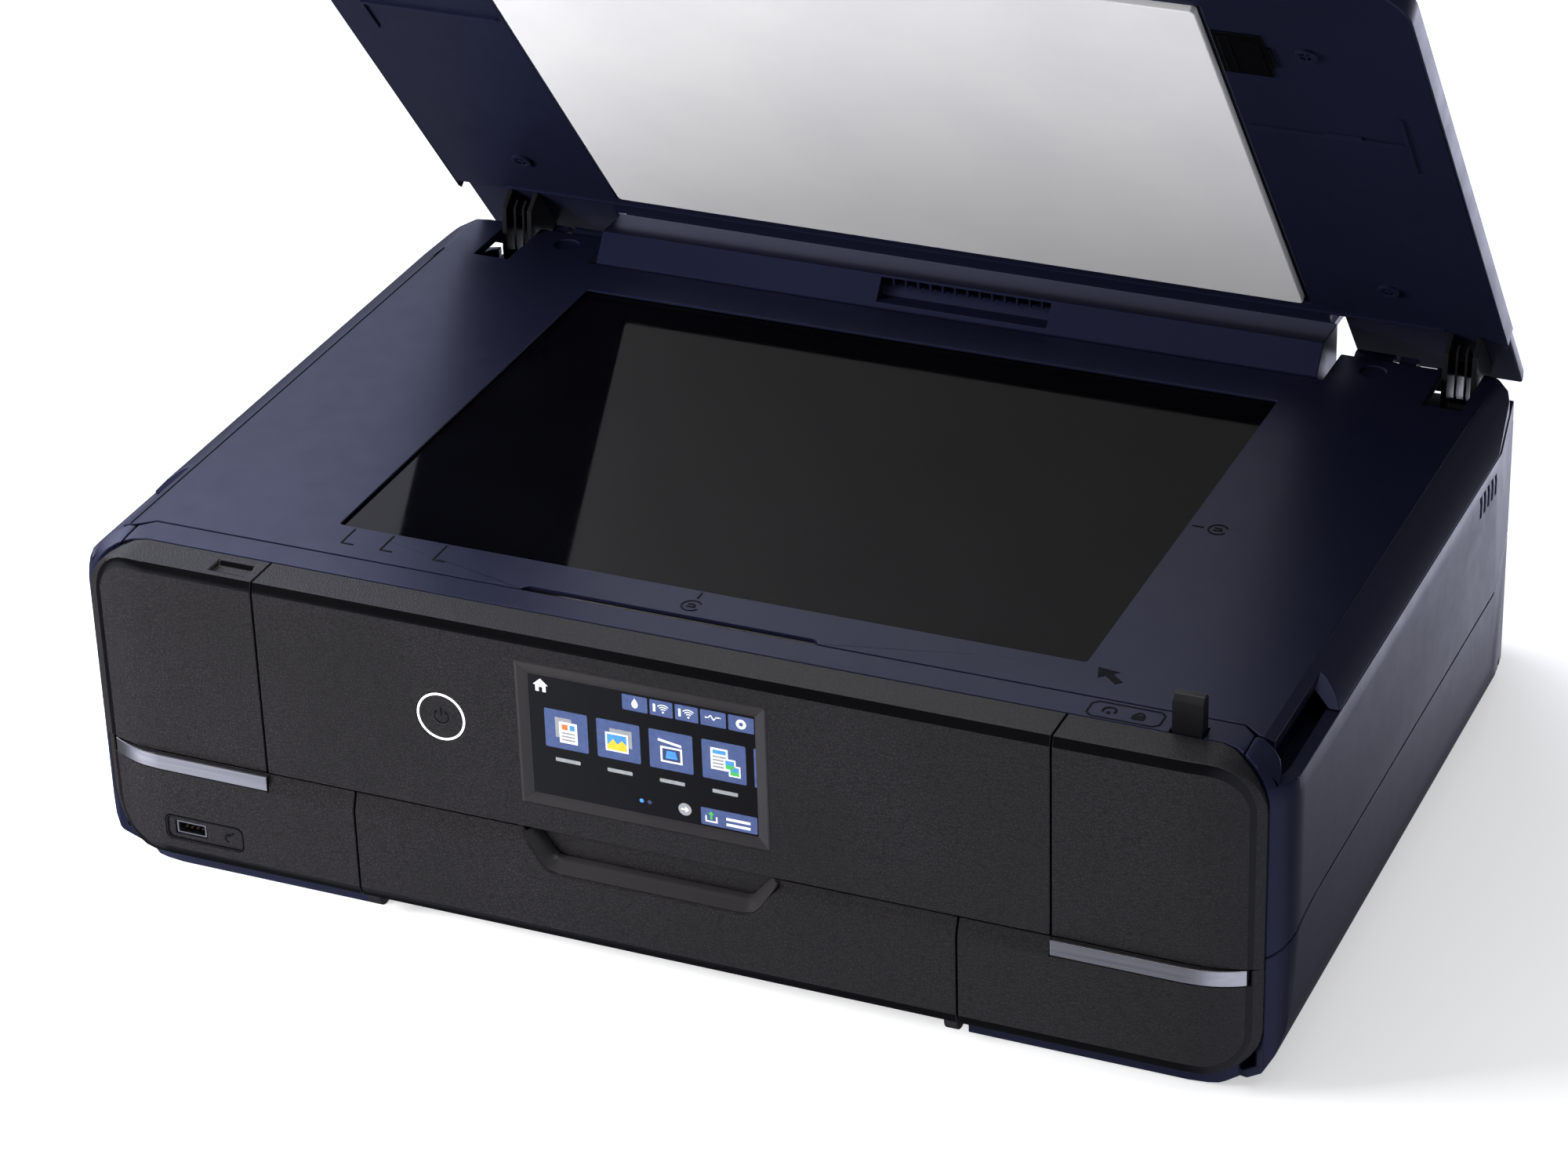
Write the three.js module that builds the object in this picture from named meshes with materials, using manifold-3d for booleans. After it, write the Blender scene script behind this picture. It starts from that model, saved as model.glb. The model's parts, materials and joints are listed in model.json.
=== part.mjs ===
// A desktop inkjet printer with a flatbed scanner on top, in millimetres.
// +X is to the right seen from the front, the front faces -Y, and +Z is up.
// The origin is on the table, in the middle of the body. The document lid stands open.

import * as THREE from 'three';
import { mergeVertices } from 'three/addons/utils/BufferGeometryUtils.js';
import Module from 'manifold-3d';

const wasm = await Module();
wasm.setup();

// ---------------------------------------------------------------- driving dimensions

const GAP = 0.4;                 // running gap between neighbouring pieces
const WALL = 3;                  // casing wall
const HALF_WIDTH = 239.5;
const FRONT_Y = -178;            // lower front face
const UPPER_FACE_Y = -175.5;     // upper front face, set back behind the ledge
const REAR_Y = 178;              // back of the duplex cover
const DECK_Z = 137;              // flat top of the scanner unit
const CREASE_Z = 67;             // seam between side covers and base, along most of its length
const LEDGE_Z = 55;              // seam between upper and lower front panels
const LEDGE_LOW_Z = 48;          // foot of the sloping ledge
const BAND_LOW_Z = 10.5;         // foot of the bevel band round the front
const SHELF_BACK_Y = -158.3;     // back edge of the front panels' top

const CORNER_START = 205;        // where the front starts to curve back
const CORNER_RADIUS = 43;
const CORNER_X = 212;            // centre of the face's corner arcs
const CORNER_LOW_Z = 29.5;
const CORNER_HIGH_Z = 118;
const ARC_STEPS = 7;

const DOOR_SEAM = -159;          // card door | control panel
const PANEL_SEAM = 155.5;        // control panel | right panel
const COVER_LEFT = -121.5;       // seams of the front cover
const COVER_RIGHT = 120.5;

const LID_HALF_WIDTH = 229.5;
const LID_REAR_Y = 127;          // rear edge of the closed lid's flat face
const LID_FRONT_Y = -158;
const LID_INNER_Z = 139;
const LID_TOP_Z = 148;
const LID_AXIS = { y: 142.5, z: 121.6 };
const LID_OPEN_DEG = 51.3;

const COVER_AXIS = { y: -171, z: 9.5 };
const SCANNER_AXIS = { y: 150, z: 133 };
const HINGE_SPANS = [[-209, -195], [204, 218]];
const TAIL = { inner: 161, outer: 228.5, rear: 157 };    // the lid's rear tails, behind its hinges

const HUMP_HALF_WIDTH = 157.5;   // rear paper feed
const HUMP_FRONT_Y = 121.5;

const GLASS = { x: 149.6, front: -122.4, back: 96.3 };

// ---------------------------------------------------------------- geometry helpers

function solid(geometry) {
  const bare = geometry.index ? geometry.toNonIndexed() : geometry.clone();
  for (const name of Object.keys(bare.attributes)) {
    if (name !== 'position') bare.deleteAttribute(name);
  }
  const merged = mergeVertices(bare, 1e-4);
  return new wasm.Manifold(new wasm.Mesh({
    numProp: 3,
    vertProperties: new Float32Array(merged.attributes.position.array),
    triVerts: new Uint32Array(merged.index.array),
  }));
}

function geometryOf(manifold) {
  const mesh = manifold.getMesh();
  const geometry = new THREE.BufferGeometry();
  geometry.setAttribute('position', new THREE.BufferAttribute(new Float32Array(mesh.vertProperties),
    3));
  geometry.setIndex(new THREE.BufferAttribute(new Uint32Array(mesh.triVerts), 1));
  return geometry;
}

const join = (first, ...others) => others.reduce((sum, item) => sum.add(item), first);
const cut = (first, ...others) => others.reduce((rest, item) => rest.subtract(item), first);

function box(x0, x1, y0, y1, z0, z1) {
  const geometry = new THREE.BoxGeometry(x1 - x0, y1 - y0, z1 - z0);
  geometry.translate((x0 + x1) / 2, (y0 + y1) / 2, (z0 + z1) / 2);
  return solid(geometry);
}

// A box between two distances from the middle, on the side given as -1 or 1.
function sideBox(side, near, far, y0, y1, z0, z1) {
  return side > 0 ? box(near, far, y0, y1, z0, z1) : box(-far, -near, y0, y1, z0, z1);
}

function outline(points) {
  return new THREE.Shape(points.map(([a, b]) => new THREE.Vector2(a, b)));
}

// Rectangle with round corners; radii are given for low-left, low-right, high-right, high-left.
function roundRect(a0, a1, b0, b1, radius) {
  const [ll, lr, hr, hl] = Array.isArray(radius) ? radius : [radius, radius, radius, radius];
  const shape = new THREE.Shape();
  shape.moveTo(a0 + ll, b0);
  shape.lineTo(a1 - lr, b0);
  shape.absarc(a1 - lr, b0 + lr, lr, -Math.PI / 2, 0, false);
  shape.lineTo(a1, b1 - hr);
  shape.absarc(a1 - hr, b1 - hr, hr, 0, Math.PI / 2, false);
  shape.lineTo(a0 + hl, b1);
  shape.absarc(a0 + hl, b1 - hl, hl, Math.PI / 2, Math.PI, false);
  shape.lineTo(a0, b0 + ll);
  shape.absarc(a0 + ll, b0 + ll, ll, Math.PI, 1.5 * Math.PI, false);
  return shape;
}

function extrude(shape, depth, curveSegments) {
  return new THREE.ExtrudeGeometry(shape, { depth, bevelEnabled: false, curveSegments });
}

// An XY outline raised from z0 to z1.
function prismZ(shape, z0, z1, curveSegments = 5) {
  const geometry = extrude(shape, z1 - z0, curveSegments);
  geometry.translate(0, 0, z0);
  return solid(geometry);
}

// A YZ outline drawn out along X from x0 to x1.
function prismX(shape, x0, x1, curveSegments = 5) {
  const geometry = extrude(shape, x1 - x0, curveSegments);
  const toYZ = new THREE.Matrix4().makeBasis(
    new THREE.Vector3(0, 1, 0), new THREE.Vector3(0, 0, 1), new THREE.Vector3(1, 0, 0));
  geometry.applyMatrix4(toYZ);
  geometry.translate(x0, 0, 0);
  return solid(geometry);
}

// An XZ outline drawn out along Y from y0 to y1.
function prismY(shape, y0, y1, curveSegments = 5) {
  const geometry = extrude(shape, y1 - y0, curveSegments);
  const toXZ = new THREE.Matrix4().makeBasis(
    new THREE.Vector3(1, 0, 0), new THREE.Vector3(0, 0, 1), new THREE.Vector3(0, -1, 0));
  geometry.applyMatrix4(toXZ);
  geometry.translate(0, y1, 0);
  return solid(geometry);
}

// A round bar along X, Y or Z, centred at (x, y, z).
function rod(axis, x, y, z, radius, length, segments = 16) {
  const geometry = new THREE.CylinderGeometry(radius, radius, length, segments);
  if (axis === 'x') geometry.rotateZ(Math.PI / 2);
  if (axis === 'z') geometry.rotateX(Math.PI / 2);
  geometry.translate(x, y, z);
  return solid(geometry);
}

// A closed skin through rings with the same number of points; the ends are strips from top to bottom.
function loft(rings) {
  const count = rings[0].length;
  const half = count / 2;
  const positions = rings.flat(2);
  const index = [];
  for (let ring = 0; ring < rings.length - 1; ring += 1) {
    for (let i = 0; i < count; i += 1) {
      const a = ring * count + i;
      const b = ring * count + ((i + 1) % count);
      index.push(a, b, b + count, a, b + count, a + count);
    }
  }
  const last = (rings.length - 1) * count;
  for (let i = 0; i < half - 1; i += 1) {
    const low = count - 1 - i;
    index.push(i, low, i + 1, i + 1, low, low - 1);
    index.push(last + i, last + i + 1, last + low, last + i + 1, last + low - 1, last + low);
  }
  const geometry = new THREE.BufferGeometry();
  geometry.setAttribute('position', new THREE.BufferAttribute(new Float32Array(positions), 3));
  geometry.setIndex(index);
  return solid(geometry);
}

// ---------------------------------------------------------------- scene graph

const printer = new THREE.Group();

const FINISH = {
  navy: { color: 0x262a42, roughness: 0.42, metalness: 0 },
  charcoal: { color: 0x2e2c2e, roughness: 0.62, metalness: 0 },
  chrome: { color: 0xb8b8bc, roughness: 0.22, metalness: 1 },
  glass: { color: 0x0c0e12, roughness: 0.06, metalness: 0 },
  white: { color: 0xdedee0, roughness: 0.7, metalness: 0 },
  darkPlastic: { color: 0x1b1b1e, roughness: 0.55, metalness: 0 },
  greyPlastic: { color: 0x55565a, roughness: 0.55, metalness: 0 },
  steel: { color: 0x9a9ca0, roughness: 0.35, metalness: 1 },
  rubber: { color: 0x1c1c1c, roughness: 0.9, metalness: 0 },
  board: { color: 0x1f4a33, roughness: 0.5, metalness: 0 },
};

function piece(name, manifold, finish, parent = printer) {
  const mesh = new THREE.Mesh(geometryOf(manifold), new THREE.MeshStandardMaterial(FINISH[finish]));
  mesh.name = name;
  parent.add(mesh);
  return mesh;
}

// ---------------------------------------------------------------- front casing

// How far the front has curved back at a distance x from the middle.
function setback(x) {
  const past = Math.max(0, Math.abs(x) - CORNER_START);
  return CORNER_RADIUS - Math.sqrt(CORNER_RADIUS ** 2 - past ** 2);
}

// One ring of the front: a rectangle with elliptical corners, whose depth follows the curved face.
// reachX and reachZ are the corner radii; depthAt gives y from x and how far up or down the ring is.
function frontRing(reachX, reachZ, depthAt) {
  const quarter = Array.from({ length: ARC_STEPS + 1 }, (_, i) => (i / ARC_STEPS) * (Math.PI / 2));
  const corner = (side, level) => quarter.map((angle) => {
    const x = side * (CORNER_X + reachX * Math.sin(angle));
    const rise = reachZ * Math.cos(angle);
    const z = level > 0 ? CORNER_HIGH_Z + rise : CORNER_LOW_Z - rise;
    return [x, depthAt(x, Math.cos(angle)), z];
  });
  const straight = (level) => [-CORNER_START, CORNER_START].map((x) => (
    [x, depthAt(x, 1), level > 0 ? CORNER_HIGH_Z + reachZ : CORNER_LOW_Z - reachZ]));
  const top = [...corner(-1, 1).reverse(), ...straight(1), ...corner(1, 1)];
  const low = [...corner(-1, -1).reverse(), ...straight(-1), ...corner(1, -1)];
  return [...top, ...low.reverse()];
}

// The front as a full block whose face lies at faceY and curves back at the ends by curve x setback.
function frontBlock(faceY, curve, inset) {
  const depth = (sink) => (x, edge) => faceY + curve * setback(x) + sink * edge + inset;
  return loft([
    frontRing(15 - inset, 15 - inset, depth(0)),
    frontRing(17 - inset, 19 - inset, depth(1.1)),
    frontRing(20.3 - inset, 19 - inset, depth(2.6)),
    frontRing(20.3 - inset, 19 - inset, () => -140),
  ]);
}

// Everything in front of the seam between the front panels and the navy casing.
const partingPoints = [
  [212, SHELF_BACK_Y], [217.8, -160], [220.5, -162], [226, -165.2], [232.3, -168.1], [236, -169.5],
];
function partingOutline(shift) {
  const right = partingPoints.map(([x, y]) => [x, y + shift]);
  const left = right.map(([x, y]) => [-x, y]).reverse();
  return outline([[-245, -190], [245, -190], [245, right.at(-1)[1]], ...right.reverse(),
    ...left.reverse(), [-245, left.at(-1)[1]]]);
}
const frontZone = prismZ(partingOutline(0), -5, 160);
const upperOuter = frontBlock(UPPER_FACE_Y, 0.6, 0);
const upperShell = cut(upperOuter, frontBlock(UPPER_FACE_Y, 0.6, WALL)).intersect(frontZone);
const lowerOuter = frontBlock(FRONT_Y, 1, 0);
const lowerShell = cut(lowerOuter, frontBlock(FRONT_Y, 1, WALL)).intersect(frontZone);

// The ledge strips sit in a groove that follows the curved face; between them the ledge slopes back.
const TRIM = { low: 48.7, high: 54.8, depth: 2, left: -158.5, right: 156, spare: 0.3 };
const aboveLedge = (x0, x1) => box(x0, x1, -200, -100, LEDGE_Z + GAP, 150);
const belowLedge = (x0, x1) => box(x0, x1, -200, -100, 0, LEDGE_Z);
const ledgeSlope = prismX(outline([
  [FRONT_Y - 5, LEDGE_LOW_Z - 14], [UPPER_FACE_Y + 0.1, LEDGE_Z + 0.28], [UPPER_FACE_Y + 0.1, 60],
  [FRONT_Y - 5, 60],
]), TRIM.left + TRIM.spare, TRIM.right - TRIM.spare);
const skin = (depth) => cut(lowerOuter, lowerOuter.translate([0, depth, 0]));
const trimZone = (x0, x1, spare) => box(x0 - spare, x1 + spare, -200, -160, TRIM.low - spare,
  TRIM.high + 0.2 + spare);
const trimGroove = (x0, x1) => skin(TRIM.depth + 0.4).intersect(trimZone(x0, x1, TRIM.spare));
const trimStrip = (x0, x1) => skin(TRIM.depth).intersect(trimZone(x0, x1, 0));

function makeTrims() {
  piece('ledge_trim_left', trimStrip(-227, TRIM.left), 'chrome');
  piece('ledge_trim_right', trimStrip(TRIM.right, 227), 'chrome');
}

const USB = { x0: -205, x1: -171, z0: 18, z1: 29 };

function makeLowerFrontPanels() {
  const sloped = cut(lowerShell, ledgeSlope);
  const left = sloped.intersect(belowLedge(-245, COVER_LEFT - GAP));
  const usbPlate = prismY(roundRect(USB.x0, USB.x1, USB.z0, USB.z1, 3), -190, -177.3);
  const usbHole = box(-201, -187.4, -185, -170, 20.6, 26.6);
  piece('lower_front_panel_left', cut(left, trimGroove(-228, TRIM.left), usbPlate, usbHole),
    'charcoal');
  const right = sloped.intersect(belowLedge(COVER_RIGHT + GAP, 245));
  piece('lower_front_panel_right', cut(right, trimGroove(TRIM.right, 228)), 'charcoal');
  const socket = cut(
    box(-200.6, -187.8, -176.8, -160, 20.9, 26.3),
    box(-199.9, -188.5, -180, -163, 21.6, 25.6));
  const tongue = box(-199.4, -189, -174, -162, 24, 25.4);
  piece('usb_socket', join(socket, tongue), 'steel');
}

function makeUpperRightPanel() {
  piece('upper_front_panel_right', upperShell.intersect(aboveLedge(PANEL_SEAM + GAP, 245)), 'charcoal');
}

// ---------------------------------------------------------------- control panel

const SCREEN = { x0: -47.2, x1: 44.1, z0: 70.3, z1: 122.2 };
const BUTTON = { x: -83, z: 95.6, radius: 10 };
const PANEL_BACK_Y = -163;

function makeControlPanel() {
  const group = new THREE.Group();
  const left = DOOR_SEAM + GAP;
  const right = PANEL_SEAM - GAP;
  const shell = upperShell.intersect(aboveLedge(left, right));
  const cheeks = [left, right - 2.4].map((x) => prismX(outline([
    [-173, LEDGE_Z + 2], [PANEL_BACK_Y - 2.4, LEDGE_Z + 2], [PANEL_BACK_Y - 2.4, 134.2], [-173, 134.2],
  ]), x, x + 2.4));
  const screenHole = box(SCREEN.x0, SCREEN.x1, -180, -170, SCREEN.z0, SCREEN.z1);
  const buttonHole = rod('y', BUTTON.x, -174, BUTTON.z, BUTTON.radius + 0.4, 12, 32);
  piece('control_panel', cut(join(shell, ...cheeks), screenHole, buttonHole), 'charcoal', group);

  piece('touch_screen', box(SCREEN.x0 + 0.3, SCREEN.x1 - 0.3, -174.6, -166.5, SCREEN.z0 + 0.3,
    SCREEN.z1 - 0.3),
    'glass', group);
  const back = cut(
    box(left + 3, right - 3, PANEL_BACK_Y - 2, PANEL_BACK_Y, LEDGE_Z + 3, 126),
    box(-20, 20, -170, -160, 60, 66));
  piece('panel_back_cover', back, 'darkPlastic', group);
  const cap = rod('y', BUTTON.x, -172.3, BUTTON.z, BUTTON.radius, 5.6, 32);
  piece('power_button', join(cap, rod('y', BUTTON.x, -168.8, BUTTON.z, 3, 2.6, 12)), 'charcoal', group);
  printer.add(group);
}

// ---------------------------------------------------------------- memory card door and reader

function makeCardDoor() {
  const door = upperShell.intersect(aboveLedge(-245, DOOR_SEAM - GAP));
  const notch = prismX(outline([[-171.5, 137.2], [-169, 135.2], [-164.5, 135.2], [-162.5, 137.2]]),
    -178.5, -163.5);
  piece('card_door', cut(door, notch), 'charcoal');

  const body = box(-212, -168, -152, -112, 70, 116);
  const slots = [76, 88, 100].map((z) => box(-208, -172, -160, -120, z, z + 5));
  piece('card_reader', cut(body, ...slots), 'darkPlastic');
}

// ---------------------------------------------------------------- front cover

const SCOOP = { topHalf: 50.5, lowHalf: 40, low: 39, floorY: -170.6 };
const LUG = { inner: 114.5, outer: 119.8 };

function makeFrontCover() {
  const flap = cut(lowerShell, ledgeSlope).intersect(box(COVER_LEFT + GAP, COVER_RIGHT - GAP, -200,
    -171.5, 0, LEDGE_Z));
  const block = box(-55, 54, -175.5, -168.4, 35, 54.9);
  const scoop = prismY(outline([
    [-SCOOP.topHalf - 1, 60], [-SCOOP.topHalf, 53], [-SCOOP.lowHalf - 4, SCOOP.low + 4],
      [-SCOOP.lowHalf - 1, SCOOP.low + 1],
    [-SCOOP.lowHalf + 3, SCOOP.low], [SCOOP.lowHalf - 3, SCOOP.low], [SCOOP.lowHalf + 1, SCOOP.low + 1],
    [SCOOP.lowHalf + 4, SCOOP.low + 4], [SCOOP.topHalf, 53], [SCOOP.topHalf + 1, 60],
  ]), -190, SCOOP.floorY);
  const lugShape = new THREE.Shape();
  lugShape.moveTo(-176, 16);
  lugShape.lineTo(-176, COVER_AXIS.z);
  lugShape.absarc(COVER_AXIS.y, COVER_AXIS.z, 5, Math.PI, 2 * Math.PI, false);
  lugShape.lineTo(-166, 16);
  const lugs = [
    prismX(lugShape, -LUG.outer, -LUG.inner, 8),
    prismX(lugShape, LUG.inner, LUG.outer - 0.2, 8),
  ];
  piece('front_cover', join(cut(join(flap, block), scoop), ...lugs), 'charcoal');
}

// ---------------------------------------------------------------- navy casing

// Right-hand outline of the casing seen from above, from the front parting line to the rear corner.
const casingPlan = [
  [234.6, -165.9], [236.8, -163.2], [238.5, -159.2], [239.3, -155], [HALF_WIDTH, -150],
    [HALF_WIDTH, 98],
  [231, 148], [226, 157], [218, 160.5],
];
const sideZone = (side) => {
  const front = partingPoints.slice(0, 5).map(([x, y]) => [x, y + GAP]);
  const points = [[205, SHELF_BACK_Y + GAP], ...front, ...casingPlan, [205, 160.5]];
  return prismZ(outline(points.map(([x, y]) => [side * x, y])), -5, 160);
};

// Right-hand cross-section of the casing's skin, from the top inwards down to the base.
const topSection = [[212, DECK_Z], [218.5, DECK_Z], [224.5, DECK_Z], [229, 135.4], [232.7, 133.4],
  [236, 130.8],
  [238.8, 127.6], [HALF_WIDTH, 120]];
const lowSection = [[HALF_WIDTH, CREASE_Z], [239.3, 48], [238.9, 34], [238, 25], [235.6, 16.5],
  [231.5, 9.5], [225.5, 4.5],
  [218, 2], [212, 1.2]];

// The front corner's top: it runs from the front panels' elliptical corner back to the casing's section.
function cornerRing(y, outerX, share) {
  const steps = topSection.length - 1;
  const top = topSection.map(([x, z], i) => {
    const angle = (i / steps) * (Math.PI / 2);
    const ellipse = [CORNER_X + (outerX - CORNER_X) * Math.sin(angle),
      CORNER_HIGH_Z + 19 * Math.cos(angle)];
    const scaled = CORNER_X + (x - CORNER_X) * (outerX - CORNER_X) / (HALF_WIDTH - CORNER_X);
    return [ellipse[0] + share * (scaled - ellipse[0]), y, ellipse[1] + share * (z - ellipse[1])];
  });
  const row = [[100, y, DECK_Z], ...top];
  return [...row, ...row.map(([x]) => [x, y, 50]).reverse()];
}
const frontCorner = loft([
  cornerRing(-175, 232.3, 0), cornerRing(-168.1, 232.3, 0), cornerRing(-165.9, 234.6, 0.08),
  cornerRing(-163.2, 236.8, 0.25), cornerRing(-159.2, 238.5, 0.55), cornerRing(-155, 239.3, 0.85),
  cornerRing(-149.8, HALF_WIDTH, 1), cornerRing(-140, HALF_WIDTH, 1),
]);
const cornerOf = (side) => (side > 0 ? frontCorner : frontCorner.mirror([1, 0, 0]));

// The crease seam from front to back: it dips towards the ledge at the front.
const creaseLine = [[-175, 56.4], [-168, 58.6], [-160, 62], [-150, 65], [-138, 66.6], [-125, CREASE_Z],
  [170, CREASE_Z]];
const creaseZone = (shift, farZ) => prismX(outline([
  ...creaseLine.map(([y, z]) => [y, z + shift]), [170, farZ], [-175, farZ],
]), -250, 250);
const aboveCrease = creaseZone(0.3, 160);
const belowCrease = creaseZone(-0.3, -5);

// One side of the casing's outer shape, with its front, rear corner and section all followed.
const outsideOf = (side, section) => (
  prismY(outline(section.map(([x, z]) => [side * x, z])), -172, 160.5).intersect(sideZone(side)));

// The room inside it: the wall follows the sides and both corners, and the front is open to the panels.
const roomPlan = [
  [200, -180], [229.3, -180], [229.3, -166], [232.2, -163.9], [234.1, -161.7], [235.5, -158.3],
    [236.3, -154.6],
  [236.5, -150], [236.5, 98], [228.1, 146.6], [223.7, 154.7], [217.2, 157.4], [200, 157.4],
];
const roomOf = (side) => prismZ(outline(roomPlan.map(([x, y]) => [side * x, y])), -5, 160);
const insideOf = (side, section) => (
  roomOf(side).intersect(prismY(outline(section.map(([x, z]) => [side * x, z])), -185, 165)));
const rearPanelRoom = box(-218, 218, 157.1, 165, 4.5, 118.4);

// Where the scanner unit's edge meets the side covers; the front end of the seam leans back.
const SEAM = { lowY: -163.4, lowZ: 127.2, highY: -149.8, rearY: 147 };

function makeSideCovers() {
  const section = [[200, DECK_Z], ...topSection, [HALF_WIDTH, CREASE_Z], [239.1, 56], [200, 56]];
  const inside = [[200, 40], [236.5, 40], [236.5, 122.6], [232.4, 128.6], [224, 133], [200, 133.4]];
  const behindCorner = box(-250, 250, -149.8, 165, 0, 160);
  const stripRoom = box(-221.3, 221.3, -175, 165, 110, 150);
  const scannerRoom = prismX(outline([
    [SEAM.lowY, SEAM.lowZ], [SEAM.highY, 137.4], [SEAM.highY, 150], [SEAM.rearY, 150],
    [SEAM.rearY, SEAM.lowZ],
  ]), -250, 250);
  const seamFlange = prismX(outline([
    [SEAM.lowY - 2.4, SEAM.lowZ], [SEAM.lowY, SEAM.lowZ], [SEAM.highY, 137.4],
      [SEAM.highY - 2.4, 137.4],
  ]), -250, 250);
  const rearRoom = box(-250, 250, 146.6, 170, 118, 150);
  for (const [name, side] of [['side_cover_left', -1], ['side_cover_right', 1]]) {
    const corner = cornerOf(side);
    const outside = outsideOf(side, section).intersect(join(corner, behindCorner));
    const cornerRoom = corner.translate([-WALL * side, 0, -WALL]).intersect(roomOf(side));
    const room = join(insideOf(side, inside).intersect(behindCorner), cornerRoom);
    const shell = join(cut(outside, room), outside.intersect(seamFlange));
    const vents = side > 0
      ? Array.from({ length: 5 }, (_, i) => box(230, 245, 70 + i * 5.2, 72 + i * 5.2, 114, 122.5))
      : [];
    piece(name, cut(shell.intersect(aboveCrease), stripRoom, scannerRoom, rearRoom, rearPanelRoom,
      ...vents), 'navy');
  }
}

function makeBase() {
  const lipFront = [[205, -168.5], [216, -167.2], [222, -163], [225.5, -157], [226.5, -150]];
  const lipBack = lipFront.map(([x, y]) => [x - 3, y + 5]).reverse();
  const inside = [[198, 4.2], [211.5, 4.2], [217, 4.9], [223.6, 7.2], [229, 11.7], [232.7, 18],
    [235, 25.8], [235.9, 34.4],
    [236.3, 48], [236.5, CREASE_Z], [236.5, 90], [198, 90]];
  for (const [name, side, seam] of [['base_side_left', -1, -COVER_LEFT],
    ['base_side_right', 1, COVER_RIGHT]]) {
    const section = [...lowSection, [200, 1.2], [200, CREASE_Z]];
    const wall = cut(outsideOf(side, section), insideOf(side, inside),
      rearPanelRoom).intersect(belowCrease);
    const vents = side > 0
      ? Array.from({ length: 9 }, (_, i) => box(228, 245, 62 + i * 9, 66 + i * 9, 5, 15))
      : [];
    const lip = prismZ(outline([[seam + 0.5, -168.5], ...lipFront, ...lipBack, [seam + 0.5, -163.5]]
      .map(([x, y]) => [side * x, y])), 1.2, BAND_LOW_Z - GAP)
      .intersect(prismY(outline([...lowSection, [100, 1.2],
        [100, CREASE_Z]].map(([x, z]) => [side * x, z])), -175, 0));
    piece(name, join(cut(wall, ...vents), lip), 'navy');
  }
  piece('base_floor', box(-204.6, 204.6, -162.6, 160, 1.6, 4.4), 'darkPlastic');
}

function makeFrontStrip() {
  const y0 = SHELF_BACK_Y + GAP;
  const y1 = -144.5;
  const corners = [[212, y0], [217.8, y0 - 1.7], [220.9, y0 - 3.8], [220.9, -150], [215.5, y1]];
  const block = prismZ(outline([...corners, ...corners.map(([x, y]) => [-x, y]).reverse()]), 133,
    DECK_Z);
  const strip = block.intersect(join(cornerOf(1), cornerOf(-1), box(-150, 150, -170, y1, 130, DECK_Z)));
  const apron = box(-215, 215, y1 - 3, y1, 121, 133.5);
  const pinHole = box(192.4, 205.1, -160, -150.4, 130, 140);
  piece('front_strip', cut(join(strip, apron), pinHole), 'navy');
}

const PIN = { x0: 193, x1: 204.5, y0: -157.2, y1: -151, top: 151.4 };

function makeInterlockPin() {
  const profile = outline([
    [PIN.y0, 124], [PIN.y1, 124], [PIN.y1, PIN.top - 1], [PIN.y1 - 1, PIN.top], [PIN.y0 + 2.4, PIN.top],
    [PIN.y0, PIN.top - 2.4],
  ]);
  piece('lid_interlock_pin', prismX(profile, PIN.x0, PIN.x1), 'darkPlastic');
}

function makeRearPanel() {
  const wall = box(-217.6, 217.6, 157.5, 160.5, 4.8, 118);
  const flanges = [[-217.6, -161], [161, 217.6]].map(([x0, x1]) => box(x0, x1, 147, 158, 115, 118));
  const inletHole = box(-208.4, -179.6, 150, 170, 21.6, 43.4);
  const paperWay = box(-112, 112, 150, 170, 20, 46);
  const brackets = [-187, 187].map((x) => prismX(outline([
    [147, 116], [157, 116], [154.4, 134], [150, 137], [145.6, 134],
  ]), x - 3.5, x + 3.5));
  piece('rear_panel', join(cut(join(wall, ...flanges), inletHole, paperWay), ...brackets), 'navy');

  const shell = prismX(outline([[161, 6.5], [174, 6.5], [REAR_Y, 10.5], [REAR_Y, 46], [174, 50],
    [161, 50]]), -150, 219);
  const hollow = box(-110, 110, 150, REAR_Y - 3, 18, 46);
  const ribs = Array.from({ length: 7 }, (_, i) => box(-97 + i * 32, -95 + i * 32, 171.5, REAR_Y - 2.5,
    17, 47));
  piece('duplex_unit', join(cut(shell, hollow), ...ribs), 'navy');

  const inlet = box(-208, -180, 145, 161, 22, 43);
  const well = box(-205, -183, 150, 170, 25, 40);
  piece('power_inlet', join(cut(inlet, well), rod('y', -194, 153, 32.5, 2, 9, 10)), 'darkPlastic');
}

function makeFeet() {
  for (const [name, x, y] of [['foot_front_left', -175, -135], ['foot_front_right', 175, -135],
    ['foot_rear_left', -190, 140], ['foot_rear_right', 190, 140]]) {
    piece(name, prismZ(roundRect(x - 9, x + 9, y - 6, y + 6, 5), 0, 1.3, 4), 'rubber');
  }
}

// ---------------------------------------------------------------- rear paper feed

const SUPPORT = { length: 72, thick: 2.4, leanDeg: 25, topY: 153.4, topZ: 139 };

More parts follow.
